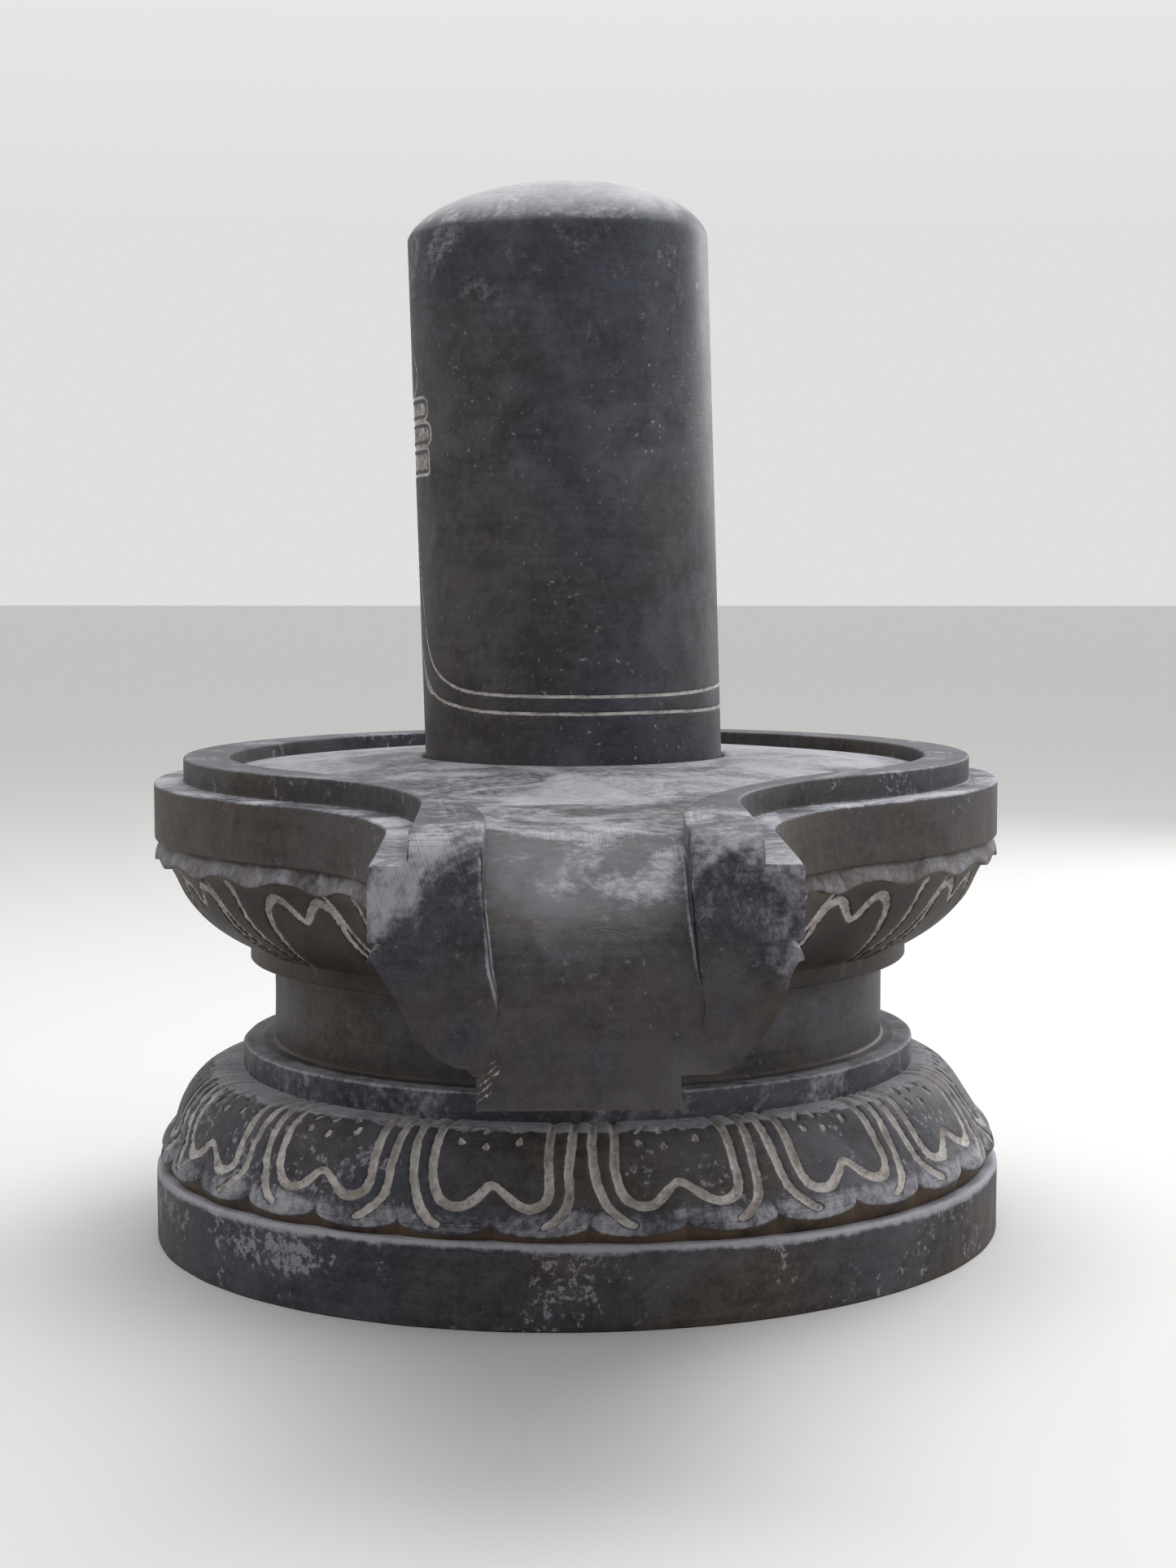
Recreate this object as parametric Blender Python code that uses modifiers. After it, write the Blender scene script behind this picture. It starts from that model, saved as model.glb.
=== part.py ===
"""Shiva lingam: a leaning stone shaft standing loose in a carved, spouted pedestal.

Metres, +Z up. The origin is the centre of the base plate's underside, and the spout points to -Y.
"""
import math

import bmesh
import bpy
import numpy as np
from mathutils import Vector

# Base plate
BASE_RADIUS = 0.371
BASE_HEIGHT = 0.060
BASE_EDGE = 0.004            # worn chamfer round the plate's top edge

# Lower lotus, petals pointing down
LOW_PETALS = 15
LOW_TURN = math.radians(1.1)  # where the first petal boundary lies, measured from the spout
LOW_TOP_RADIUS = 0.300
LOW_BELLY_RADIUS = 0.3545
LOW_TIP_RADIUS = 0.3685
LOW_ROOT_RADIUS = 0.350      # undercut below the petal tips
LOW_TOP = 0.1465
LOW_BELLY = 0.098
LOW_TIP = 0.0738             # lowest point of the petal tips
LOW_NOTCH = 0.0065           # how far the tips rise again between two lobes
LOW_W_TROUGH = 0.0940        # the two low points of the W groove
LOW_W_PEAK = 0.1090

# Step and neck between the two lotuses
STEP_RADIUS = 0.295
STEP_TOP = 0.169
NECK_RADIUS = 0.2675

# Groove of both lotuses
GROOVE_WIDTH = 0.0077
GROOVE_DEPTH = 0.0035
LINE_SPACING = 0.0166        # between a petal's inner and outer line

# Plan of the plate: a disc with a spout, joined by hollow fillets
PLATE_RADIUS = 0.368
SPOUT_HALF_WIDTH = 0.137
SPOUT_REACH = 0.703          # from the axis to the spout's front face
FILLET_RADIUS = 0.285
PLATE_BOTTOM = 0.3473
PLATE_TOP = 0.3953

# Raised rim on the plate
RIM_INSET = 0.0249
RIM_TOP = 0.416
SPOUT_ROUND_LENGTH = 0.024   # rounding of the rim where it ends at the spout's front
SPOUT_ROUND_HEIGHT = 0.030

# Upper lotus cup, petals pointing up, and the collar under it
CUP_PETALS_PER_SIDE = 8      # between the back of the plate and the spout's front
CUP_LIP_INSET = 0.0010       # all insets are measured from the plate's outline
CUP_BAND_INSET = 0.0090
CUP_FOOT_INSET = 0.0780
SPOUT_FOOT_INSET = 0.0485    # along the spout the cup is fuller and starts higher
CUP_FOOT = 0.2546
SPOUT_FOOT_RISE = 0.0080
CUP_LIP = 0.3340
CUP_NOTCH = 0.0060           # depth of the notches in the petals' upper edge
CUP_M_TOP = 0.3185           # the two high points of the M groove
CUP_M_NOTCH = 0.3020
CUP_BELLY = 0.281            # height of the fullest curve between the foot and the M groove
COLLAR_INSET = 0.0800
SPOUT_COLLAR_INSET = 0.0725
COLLAR_BOTTOM = 0.2405

# Basin and channel
BASIN_RADIUS = 0.3037
CHANNEL_HALF_WIDTH = 0.065
CHANNEL_FILLET_RADIUS = 0.630
FLOOR_EDGE = 0.403           # basin floor at the rim
FLOOR_RISE = 0.011           # how much higher it is at the shaft
POUR_LENGTH = 0.166          # the channel floor bends down over this length
POUR_DROP = 0.094
POUR_SETBACK = 0.003         # channel bottom behind the spout's front face
CHANNEL_END = 0.305          # where the channel runs out on the front face

# Shaft and its socket
SHAFT_RADIUS = 0.130
SHAFT_RIDGE = 0.863          # edge between the round side and the dome
SHAFT_TOP = 0.911
SHAFT_FOOT_EDGE = 0.004
SHAFT_OFFSET_X = -0.0025
SHAFT_LEAN = math.radians(-1.56)
DOME_ROUNDNESS = 0.0090      # how much the dome's curve would still sink below the ridge
DOME_SIDE_SHIFT = 0.014      # the dome's highest point lies to the +X side of the shaft's axis
DOME_FLAT_RADIUS = 0.012     # small flat at the very top
SOCKET_GAP = 0.003
SOCKET_DEPTH = 0.080
SEAT_CLEARANCE = 0.0003

# Smoothness
TURN_STEPS = 48
DOME_STEPS = 5
FILLET_STEPS = 8
POUR_STEPS = 6
FLOOR_COLUMNS = 6
FIRST_STATION = 0.35         # place of the basin's first cross section, in steps
OVERLAP = 0.006              # how far joined pieces reach into each other
PAST_FRONT = 0.012           # how far the spout runs on before its front face is cut flat

# Places across half a petal, as shares of the half pitch
LOBE = 0.39                  # middle of a lobe
INNER_LINE = 0.642           # the petal's inner groove
CUP_INNER_TIP = 0.40         # the cup's inner and outer grooves lean in towards their tips
CUP_OUTER_TIP = 0.53

# How the curves bend
SHOULDER_CURVE = 0.36
BOWL_CURVE = 2.6
SPOUT_BOWL_CURVE = 2.1
BOWL_SHARE = 0.8             # the rest of the bowl's width is its flared lip
LIP_CURVE = 6
CUSP_CURVE = 1.5
LEAN_CURVE = 2.2
LOBE_RISE = 0.3              # how far the W rises, and the M falls, towards the inner groove
LOBE_FALL = 0.6
NOTCH_CURVE = 3


def clear_scene():
    for item in list(bpy.data.objects):
        bpy.data.objects.remove(item, do_unlink=True)


def new_collection(name):
    collection = bpy.data.collections.new(name)
    bpy.context.scene.collection.children.link(collection)
    return collection


def stone_material(name, color, roughness):
    material = bpy.data.materials.new(name)
    material.use_nodes = True
    shader = material.node_tree.nodes["Principled BSDF"]
    shader.inputs["Base Color"].default_value = (*color, 1.0)
    shader.inputs["Roughness"].default_value = roughness
    shader.inputs["Metallic"].default_value = 0.0
    return material


def add_object(name, mesh, collection):
    item = bpy.data.objects.new(name, mesh)
    collection.objects.link(item)
    return item


def mark_cutter(item):
    item.hide_render = True
    item.display_type = "WIRE"


def smooth_round_faces(item):
    item.data.shade_smooth()
    item.data.set_sharp_from_angle(angle=math.radians(35))


def lofted(name, sections, collection):
    """Closed body through sections that all have the same number of points."""
    shape = bmesh.new()
    rings = [[shape.verts.new(point) for point in section] for section in sections]
    count = len(rings[0])
    for lower, upper in zip(rings, rings[1:]):
        for i in range(count):
            j = (i + 1) % count
            shape.faces.new((lower[i], lower[j], upper[j], upper[i]))
    shape.faces.new(list(reversed(rings[0])))
    shape.faces.new(rings[-1])
    bmesh.ops.recalc_face_normals(shape, faces=shape.faces)
    if shape.calc_volume(signed=True) < 0:
        bmesh.ops.reverse_faces(shape, faces=shape.faces)
    mesh = bpy.data.meshes.new(name)
    shape.to_mesh(mesh)
    shape.free()
    return add_object(name, mesh, collection)


def turned(name, profile, collection):
    """Body of revolution from a profile of (radius, height), top to bottom on its outer side."""
    mesh = bpy.data.meshes.new(name)
    points = [(radius, 0.0, height) for radius, height in profile]
    mesh.from_pydata(points, [(i, i + 1) for i in range(len(points) - 1)], [])
    item = add_object(name, mesh, collection)
    screw = item.modifiers.new("turn", "SCREW")
    screw.steps = TURN_STEPS
    screw.render_steps = TURN_STEPS
    screw.use_merge_vertices = True
    screw.merge_threshold = 0.00005
    return item


def prism_across(name, outline, half_width, collection):
    """Body with an outline in the YZ plane, running from -half_width to +half_width along X."""
    sections = []
    for x in (-half_width, half_width):
        sections.append([(x, y, z) for y, z in outline])
    return lofted(name, sections, collection)


def add_boolean(item, other, operation):
    step = item.modifiers.new(other.name, "BOOLEAN")
    step.operation = operation
    step.solver = "EXACT"
    step.object = other


# Plan outline


def fillet_centre(radius, half_width, fillet):
    """Centre of the hollow fillet between a disc and the straight side of a spout, on the +X side."""
    x = half_width + fillet
    return x, -math.sqrt((radius + fillet) ** 2 - x ** 2)


def half_outline_length(radius, half_width, fillet, reach):
    x, y = fillet_centre(radius, half_width, fillet)
    turn = math.atan2(x, -y)
    return radius * (math.pi - turn) + fillet * (math.pi / 2 - turn) + reach + y


def outline_point(distance, inset):
    """Point on the plate's outline, going from the back round the +X side to the spout's front.

    The distance runs along the outline of the plate itself, and the inset moves the point inwards.
    """
    x, y = fillet_centre(PLATE_RADIUS, SPOUT_HALF_WIDTH, FILLET_RADIUS)
    turn = math.atan2(x, -y)
    on_disc = PLATE_RADIUS * (math.pi - turn)
    on_fillet = FILLET_RADIUS * (math.pi / 2 - turn)
    if distance <= on_disc:
        angle = math.pi - distance / PLATE_RADIUS
        normal = Vector((math.sin(angle), -math.cos(angle)))
        return normal * (PLATE_RADIUS - inset)
    if distance <= on_disc + on_fillet:
        angle = turn + (distance - on_disc) / FILLET_RADIUS
        normal = Vector((math.sin(angle), -math.cos(angle)))
        return Vector((x, y)) - normal * (FILLET_RADIUS + inset)
    return Vector((SPOUT_HALF_WIDTH - inset, y - (distance - on_disc - on_fillet)))


def spout_share(distance):
    """0 along the disc, 1 along the spout's straight side, and a smooth change over the fillet."""
    x, y = fillet_centre(PLATE_RADIUS, SPOUT_HALF_WIDTH, FILLET_RADIUS)
    turn = math.atan2(x, -y)
    share = (distance - PLATE_RADIUS * (math.pi - turn)) / (FILLET_RADIUS * (math.pi / 2 - turn))
    share = max(0.0, min(share, 1.0))
    return share * share * (3 - 2 * share)


def between(disc_value, spout_value, spout):
    return disc_value + (spout_value - disc_value) * spout


def full_outline(stations, inset, spout_inset):
    """Closed plan outline through the given distances, mirrored to both sides.

    Its end runs past the spout's front face, further where the inset is larger.
    """
    right = []
    for distance in stations[:-1]:
        right.append(outline_point(distance, between(inset, spout_inset, spout_share(distance))))
    right.append(outline_point(stations[-1] + PAST_FRONT + spout_inset, spout_inset))
    left = [Vector((-point.x, point.y)) for point in reversed(right[1:])]
    return left + right


def plate_stations():
    """Distances that divide the disc, the fillet and the straight side of the outline."""
    x, y = fillet_centre(PLATE_RADIUS, SPOUT_HALF_WIDTH, FILLET_RADIUS)
    turn = math.atan2(x, -y)
    on_disc = PLATE_RADIUS * (math.pi - turn)
    on_fillet = FILLET_RADIUS * (math.pi / 2 - turn)
    total = half_outline_length(PLATE_RADIUS, SPOUT_HALF_WIDTH, FILLET_RADIUS, SPOUT_REACH)
    step = 2 * math.pi * PLATE_RADIUS / TURN_STEPS
    stations = []
    distance = 0.0
    while distance < on_disc - step / 4:
        stations.append(distance)
        distance += step
    stations += [on_disc + on_fillet * i / FILLET_STEPS for i in range(FILLET_STEPS + 1)]
    stations.append(total)
    return stations


# Lower lotus


def low_radius(z):
    """Radius of the lower lotus: a shoulder that falls to the belly, then flares to the tips."""
    if z >= LOW_BELLY:
        share = (LOW_TOP - z) / (LOW_TOP - LOW_BELLY)
        return LOW_TOP_RADIUS + (LOW_BELLY_RADIUS - LOW_TOP_RADIUS) * share ** SHOULDER_CURVE
    share = min((LOW_BELLY - z) / (LOW_BELLY - LOW_TIP), 1.0)
    return LOW_BELLY_RADIUS + (LOW_TIP_RADIUS - LOW_BELLY_RADIUS) * math.sin(share * math.pi / 2)


def w_height(share):
    """Height of the W groove across half a petal: peak at the middle, trough at each lobe."""
    if share < LOBE:
        return LOW_W_TROUGH + (LOW_W_PEAK - LOW_W_TROUGH) * (1 - share / LOBE) ** CUSP_CURVE
    rise = min((share - LOBE) / (INNER_LINE - LOBE), 1.0)
    return LOW_W_TROUGH + LOBE_RISE * (LOW_W_PEAK - LOW_W_TROUGH) * rise ** 2


def petal_columns(half_pitch):
    """Shares of the half pitch at which a petal has columns, and the share of its outer groove."""
    edge = GROOVE_WIDTH / 2 / half_pitch
    outer_line = INNER_LINE + LINE_SPACING / half_pitch
    half = [LOBE]
    for line in (INNER_LINE, outer_line):
        half += [line - edge, line, line + edge]
    return [-share for share in reversed(half)] + [0.0] + half, outer_line


def lower_lotus(collection):
    pitch = 2 * math.pi / LOW_PETALS
    shares, outer_line = petal_columns(pitch / 2 * LOW_BELLY_RADIUS)
    half_groove = GROOVE_WIDTH / 2
    rows = [[] for _ in range(7)]
    for petal in range(LOW_PETALS):
        for share in shares:
            side = abs(share)
            angle = LOW_TURN + (petal + 0.5 + share / 2) * pitch
            in_petal = min(side, INNER_LINE)
            line = w_height(in_petal)
            leg = side == INNER_LINE
            outer = side == outer_line
            # Two lobes to a petal, with a notch at its middle and one at each side
            notch = LOW_NOTCH * abs(math.cos(math.pi * share)) ** NOTCH_CURVE
            heights = [
                LOW_TOP,
                LOW_TOP - 0.28 * (LOW_TOP - LOW_BELLY),
                line + half_groove,
                line,
                line - half_groove,
                LOW_TIP + notch,
            ]
            cuts = [
                0.0,
                GROOVE_DEPTH if leg or outer else 0.0,
                GROOVE_DEPTH if leg or outer else 0.0,
                GROOVE_DEPTH if side <= INNER_LINE or outer else 0.0,
                GROOVE_DEPTH if outer else 0.0,
                notch / 2,
            ]
            for row, height, cut in zip(rows, heights, cuts):
                radius = low_radius(height) - cut
                row.append((radius * math.sin(angle), -radius * math.cos(angle), height))
            rows[6].append((
                LOW_ROOT_RADIUS * math.sin(angle),
                -LOW_ROOT_RADIUS * math.cos(angle),
                BASE_HEIGHT - OVERLAP,
            ))
    return lofted("lower_lotus", rows, collection)


# Upper lotus cup


def cup_inset(z, spout):
    """Inset of the cup from the plate's outline: a bowl that flares out at its lip."""
    foot = CUP_FOOT + SPOUT_FOOT_RISE * spout
    share = max(0.0, min((z - foot) / (CUP_LIP - foot), 1.0))
    curve = between(BOWL_CURVE, SPOUT_BOWL_CURVE, spout)
    bowl = BOWL_SHARE * (1 - (1 - share) ** curve) + (1 - BOWL_SHARE) * share ** LIP_CURVE
    foot_inset = between(CUP_FOOT_INSET, SPOUT_FOOT_INSET, spout)
    return foot_inset + (CUP_LIP_INSET - foot_inset) * bowl


def m_height(share):
    """Height of the M groove across half a petal: notch at the middle, top at each lobe."""
    if share < LOBE:
        return CUP_M_TOP - (CUP_M_TOP - CUP_M_NOTCH) * (1 - share / LOBE) ** CUSP_CURVE
    fall = min((share - LOBE) / (INNER_LINE - LOBE), 1.0)
    return CUP_M_TOP - LOBE_FALL * (CUP_M_TOP - CUP_M_NOTCH) * fall ** 2


def cup_share(share, outer_line, rise):
    """Sideways place of a column at a share of the cup's height: the lines lean in as they rise."""
    stops = [0.0, INNER_LINE, outer_line, 1.0]
    tips = [0.0, CUP_INNER_TIP, CUP_OUTER_TIP, 1.0]
    tip = float(np.interp(abs(share), stops, tips))
    return math.copysign(abs(share) + (tip - abs(share)) * rise ** LEAN_CURVE, share)


def upper_cup(collection):
    total = half_outline_length(PLATE_RADIUS, SPOUT_HALF_WIDTH, FILLET_RADIUS, SPOUT_REACH)
    pitch = total / CUP_PETALS_PER_SIDE
    shares, outer_line = petal_columns(pitch / 2)
    half_groove = GROOVE_WIDTH / 2
    columns = []
    for petal in range(CUP_PETALS_PER_SIDE):
        for share in shares:
            columns.append((petal + 0.5, share))
    rows = [[] for _ in range(8)]
    for middle, share in [(0.0, 0.0)] + columns + [(CUP_PETALS_PER_SIDE, 0.0)]:
        at_end = middle in (0.0, CUP_PETALS_PER_SIDE)
        side = 1.0 if at_end else abs(share)
        line = m_height(min(side, INNER_LINE))
        leg = side == INNER_LINE
        outer = side == outer_line
        notch = CUP_NOTCH * abs(math.cos(math.pi * share)) ** NOTCH_CURVE
        spout = spout_share((middle + share / 2) * pitch)
        heights = [
            CUP_FOOT + SPOUT_FOOT_RISE,
            CUP_FOOT + SPOUT_FOOT_RISE * spout,
            CUP_BELLY,
            line - half_groove,
            line,
            line + half_groove,
            CUP_LIP - notch,
            PLATE_BOTTOM + OVERLAP,
        ]
        insets = [cup_inset(height, spout) for height in heights]
        # The flat underside ends inside the collar, and the top inside the plate
        insets[0] = between(COLLAR_INSET, SPOUT_COLLAR_INSET, spout) + OVERLAP
        insets[-1] = CUP_BAND_INSET
        cuts = [
            0.0,
            0.0,
            GROOVE_DEPTH if leg or outer else 0.0,
            GROOVE_DEPTH if leg or outer else 0.0,
            GROOVE_DEPTH if side <= INNER_LINE or outer else 0.0,
            GROOVE_DEPTH if outer else 0.0,
            0.0,
            0.0,
        ]
        for row, height, flat_inset, cut in zip(rows, heights, insets, cuts):
            inset = flat_inset + cut
            under = row is rows[0]
            rise = 0.0 if under else min((height - CUP_FOOT) / (CUP_LIP - CUP_FOOT), 1.0)
            distance = (middle + cup_share(share, outer_line, rise) / 2) * pitch
            if middle == CUP_PETALS_PER_SIDE:
                distance += PAST_FRONT if under else PAST_FRONT + inset
            point = outline_point(distance, inset)
            row.append((point.x, point.y, height))
    sections = []
    for row in rows:
        left = [(-x, y, z) for x, y, z in reversed(row[1:])]
        sections.append(left + row)
    return lofted("upper_cup", sections, collection)


# Plate, basin and channel


def outline_slab(name, levels, collection):
    """Body that keeps the plate's plan, from (inset, inset along the spout, height) levels."""
    stations = plate_stations()
    sections = []
    for inset, spout_inset, height in levels:
        outline = full_outline(stations, inset, spout_inset)
        sections.append([(point.x, point.y, height) for point in outline])
    return lofted(name, sections, collection)


def collar(collection):
    top = CUP_FOOT + SPOUT_FOOT_RISE + OVERLAP
    levels = [(COLLAR_INSET, SPOUT_COLLAR_INSET, height) for height in (COLLAR_BOTTOM, top)]
    return outline_slab("collar", levels, collection)


def plate_slab(collection):
    levels = [
        (0.0, 0.0, PLATE_BOTTOM),
        (0.0, 0.0, PLATE_TOP),
        (RIM_INSET, RIM_INSET, PLATE_TOP),
        (RIM_INSET, RIM_INSET, RIM_TOP),
    ]
    return outline_slab("plate_slab", levels, collection)


def floor_height(x, y):
    """Height of the basin floor: a low dome round the shaft that levels out at the rim."""
    distance = math.hypot(x, y)
    share = (BASIN_RADIUS - distance) / (BASIN_RADIUS - SHAFT_RADIUS)
    share = max(0.0, min(share, 1.0))
    return FLOOR_EDGE + FLOOR_RISE * math.sin(share * math.pi / 2)


def channel_width(y):
    """Half width of the basin and channel at a place along the spout."""
    x, centre = fillet_centre(BASIN_RADIUS, CHANNEL_HALF_WIDTH, CHANNEL_FILLET_RADIUS)
    turn = math.atan2(x, -centre)
    if y > -BASIN_RADIUS * math.cos(turn):
        return math.sqrt(max(BASIN_RADIUS ** 2 - y ** 2, 0.0))
    if y > centre:
        return x - math.sqrt(CHANNEL_FILLET_RADIUS ** 2 - (y - centre) ** 2)
    return CHANNEL_HALF_WIDTH


def basin_cutter(collection):
    """Everything above the floor inside the rim, and in front of the bent end of the channel."""
    above = RIM_TOP + 2 * OVERLAP
    beyond = -SPOUT_REACH - 2 * PAST_FRONT - COLLAR_INSET
    pour_start = -SPOUT_REACH + POUR_SETBACK + POUR_LENGTH
    x, centre = fillet_centre(BASIN_RADIUS, CHANNEL_HALF_WIDTH, CHANNEL_FILLET_RADIUS)
    join = -BASIN_RADIUS * math.cos(math.atan2(x, -centre))
    stations = []
    round_steps = TURN_STEPS // 2
    for i in range(round_steps):
        y = BASIN_RADIUS * math.cos(math.pi * (i + FIRST_STATION) / round_steps)
        if y > join + OVERLAP:
            stations.append((y, 0.0, y, above))
    for i in range(FILLET_STEPS):
        y = join + (pour_start - join) * i / FILLET_STEPS
        stations.append((y, 0.0, y, above))
    for i in range(POUR_STEPS + 1):
        angle = math.pi / 2 * i / POUR_STEPS
        y = pour_start - POUR_LENGTH * math.sin(angle)
        drop = POUR_DROP * (1 - math.cos(angle))
        far_y = pour_start + (beyond - pour_start) * i / POUR_STEPS
        stations.append((y, drop, far_y, above))
    past_front = (beyond + SPOUT_REACH) / POUR_SETBACK
    last_drop = (FLOOR_EDGE - CHANNEL_END) - past_front * (FLOOR_EDGE - POUR_DROP - CHANNEL_END)
    stations.append((beyond, last_drop, 2 * beyond, above))
    sections = []
    for y, drop, far_y, far_z in stations:
        half = channel_width(y)
        low = []
        high = []
        for column in range(FLOOR_COLUMNS + 1):
            across = half * (2 * column / FLOOR_COLUMNS - 1)
            low.append((across, y, floor_height(across, y) - drop))
            high.append((across, far_y, far_z))
        sections.append(low + high[::-1])
    return lofted("basin_cutter", sections, collection)


def front_cutter(collection):
    """Cuts the spout's front face flat and rounds its upper edge, over the whole width."""
    back = -SPOUT_REACH + SPOUT_ROUND_LENGTH
    low = RIM_TOP - SPOUT_ROUND_HEIGHT
    outline = []
    for i in range(5):
        angle = math.pi / 2 * i / 4
        y = back - SPOUT_ROUND_LENGTH * math.sin(angle)
        outline.append((y, low + SPOUT_ROUND_HEIGHT * math.cos(angle)))
    beyond = -SPOUT_REACH - PAST_FRONT - COLLAR_INSET - OVERLAP
    above = RIM_TOP + OVERLAP
    below = COLLAR_BOTTOM - OVERLAP
    outline += [(-SPOUT_REACH, below), (beyond, below), (beyond, above), (back, above)]
    return prism_across("front_cutter", outline, SPOUT_HALF_WIDTH + OVERLAP, collection)


# Shaft


def shaft_body(foot, collection):
    """Round shaft from its foot up, with a dome whose curve is part of an ellipse.

    The dome's rings move to one side as they shrink, so that its top lies beside the axis.
    """
    rise = SHAFT_TOP - SHAFT_RIDGE
    semi_height = rise + DOME_ROUNDNESS
    semi_width = SHAFT_RADIUS / math.sqrt(1 - (DOME_ROUNDNESS / semi_height) ** 2)
    rings = [
        (SHAFT_RADIUS - SHAFT_FOOT_EDGE, 0.0),
        (SHAFT_RADIUS, SHAFT_FOOT_EDGE),
        (SHAFT_RADIUS, SHAFT_RIDGE - foot),
    ]
    last = math.asin(DOME_FLAT_RADIUS / semi_width)
    first = math.asin(SHAFT_RADIUS / semi_width)
    for i in range(1, DOME_STEPS + 1):
        angle = first + (last - first) * i / DOME_STEPS
        height = SHAFT_TOP - foot - semi_height * (1 - math.cos(angle))
        rings.append((semi_width * math.sin(angle), height))
    sections = []
    for radius, height in rings:
        shift = DOME_SIDE_SHIFT * (1 - radius / SHAFT_RADIUS) if height > SHAFT_FOOT_EDGE else 0.0
        section = []
        for i in range(TURN_STEPS):
            angle = 2 * math.pi * i / TURN_STEPS
            section.append((shift + radius * math.cos(angle), radius * math.sin(angle), height))
        sections.append(section)
    return lofted("linga_shaft", sections, collection)


def build():
    clear_scene()
    parts = new_collection("shiva_lingam")
    cutters = new_collection("cutters")

    stone = stone_material("yoni_pedestal", (0.055, 0.053, 0.052), 0.78)
    polished = stone_material("linga_shaft", (0.050, 0.050, 0.053), 0.70)

    socket_floor = FLOOR_EDGE + FLOOR_RISE - SOCKET_DEPTH

    column = [
        (0.0, COLLAR_BOTTOM + OVERLAP),
        (NECK_RADIUS, COLLAR_BOTTOM + OVERLAP),
        (NECK_RADIUS, STEP_TOP),
        (STEP_RADIUS, STEP_TOP),
        (STEP_RADIUS, LOW_TOP - OVERLAP),
        (STEP_RADIUS, BASE_HEIGHT),
        (BASE_RADIUS - BASE_EDGE, BASE_HEIGHT),
        (BASE_RADIUS, BASE_HEIGHT - BASE_EDGE),
        (BASE_RADIUS, 0.0),
        (0.0, 0.0),
    ]
    pedestal = turned("yoni_pedestal", column, parts)
    joined = [
        lower_lotus(cutters),
        collar(cutters),
        upper_cup(cutters),
        plate_slab(cutters),
    ]
    for piece in joined:
        mark_cutter(piece)
        add_boolean(pedestal, piece, "UNION")

    seat = bpy.data.objects.new("shaft_seat", None)
    cutters.objects.link(seat)
    seat.location = (SHAFT_OFFSET_X, 0.0, socket_floor)
    seat.rotation_euler = (0.0, SHAFT_LEAN, 0.0)

    socket_radius = SHAFT_RADIUS + SOCKET_GAP
    socket_top = SOCKET_DEPTH + 2 * OVERLAP
    bore = [(0.0, socket_top), (socket_radius, socket_top), (socket_radius, 0.0), (0.0, 0.0)]
    socket = turned("socket_cutter", bore, cutters)
    socket.parent = seat

    for cutter in (basin_cutter(cutters), front_cutter(cutters), socket):
        mark_cutter(cutter)
        add_boolean(pedestal, cutter, "DIFFERENCE")
    pedestal.data.materials.append(stone)

    shaft = shaft_body(socket_floor, parts)
    shaft.parent = seat
    shaft.location = (0.0, 0.0, SEAT_CLEARANCE)
    shaft.data.materials.append(polished)

    for item in (pedestal, shaft):
        smooth_round_faces(item)


build()
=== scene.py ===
import math
import bpy
import numpy as np
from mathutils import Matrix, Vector


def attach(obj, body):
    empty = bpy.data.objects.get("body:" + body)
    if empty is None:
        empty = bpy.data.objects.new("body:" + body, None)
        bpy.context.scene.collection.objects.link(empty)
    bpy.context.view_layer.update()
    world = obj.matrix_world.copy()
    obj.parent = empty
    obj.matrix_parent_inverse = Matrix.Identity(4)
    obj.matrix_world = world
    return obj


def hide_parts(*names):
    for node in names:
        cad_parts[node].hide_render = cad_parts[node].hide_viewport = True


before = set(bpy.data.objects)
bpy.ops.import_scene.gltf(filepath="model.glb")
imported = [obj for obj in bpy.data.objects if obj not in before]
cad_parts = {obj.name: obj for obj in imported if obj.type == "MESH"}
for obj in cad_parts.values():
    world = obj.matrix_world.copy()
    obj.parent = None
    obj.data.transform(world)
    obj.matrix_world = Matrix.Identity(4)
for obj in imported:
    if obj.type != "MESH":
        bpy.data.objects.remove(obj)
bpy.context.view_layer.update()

tiny = 1e-12     # keeps divisions away from zero
farAway = 9.0    # reach of a point that no line comes near
maskNames = ("groove", "dirt", "dust", "flake", "lay")    # point attributes that the stone's shader reads


# Shape helpers, all on whole arrays


def smoothStep(value, low, high):
    # 0 below low, 1 above high, and an S-curve between them
    share = np.clip((value - low) / (high - low), 0, 1)
    return share * share * (3 - 2 * share)


def fallStep(value, low, high):
    # The same curve the other way round: 1 below low, 0 above high
    return 1 - smoothStep(value, low, high)


def hump(*terms):
    # Bell curve; each term is a value, the middle and the spread
    return np.exp(-sum(((value - middle) / spread) ** 2 for value, middle, spread in terms))


def joined(x, y, z):
    # Points from three arrays or numbers that fit each other
    return np.stack(np.broadcast_arrays(x, y, z), axis=-1)


def onCircle(radius, angle, height):
    # Points about the vertical axis, with the angle from -Y towards +X
    return joined(radius * np.sin(angle), -radius * np.cos(angle), height)


def stoneNoise(points, size, seed, waves=16):
    # Sum of plane waves with random directions and phases and wavelengths near size; mostly within -1..1
    rng = np.random.default_rng(seed)
    total = np.zeros(points.shape[:-1])
    for _ in range(waves):
        direction = rng.normal(size=3)
        direction *= 2 * np.pi / (size * rng.uniform(0.6, 1.7) * np.linalg.norm(direction))
        total += np.sin(points @ direction + rng.uniform(0, 2 * np.pi))
    return total / math.sqrt(waves * 2)


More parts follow.
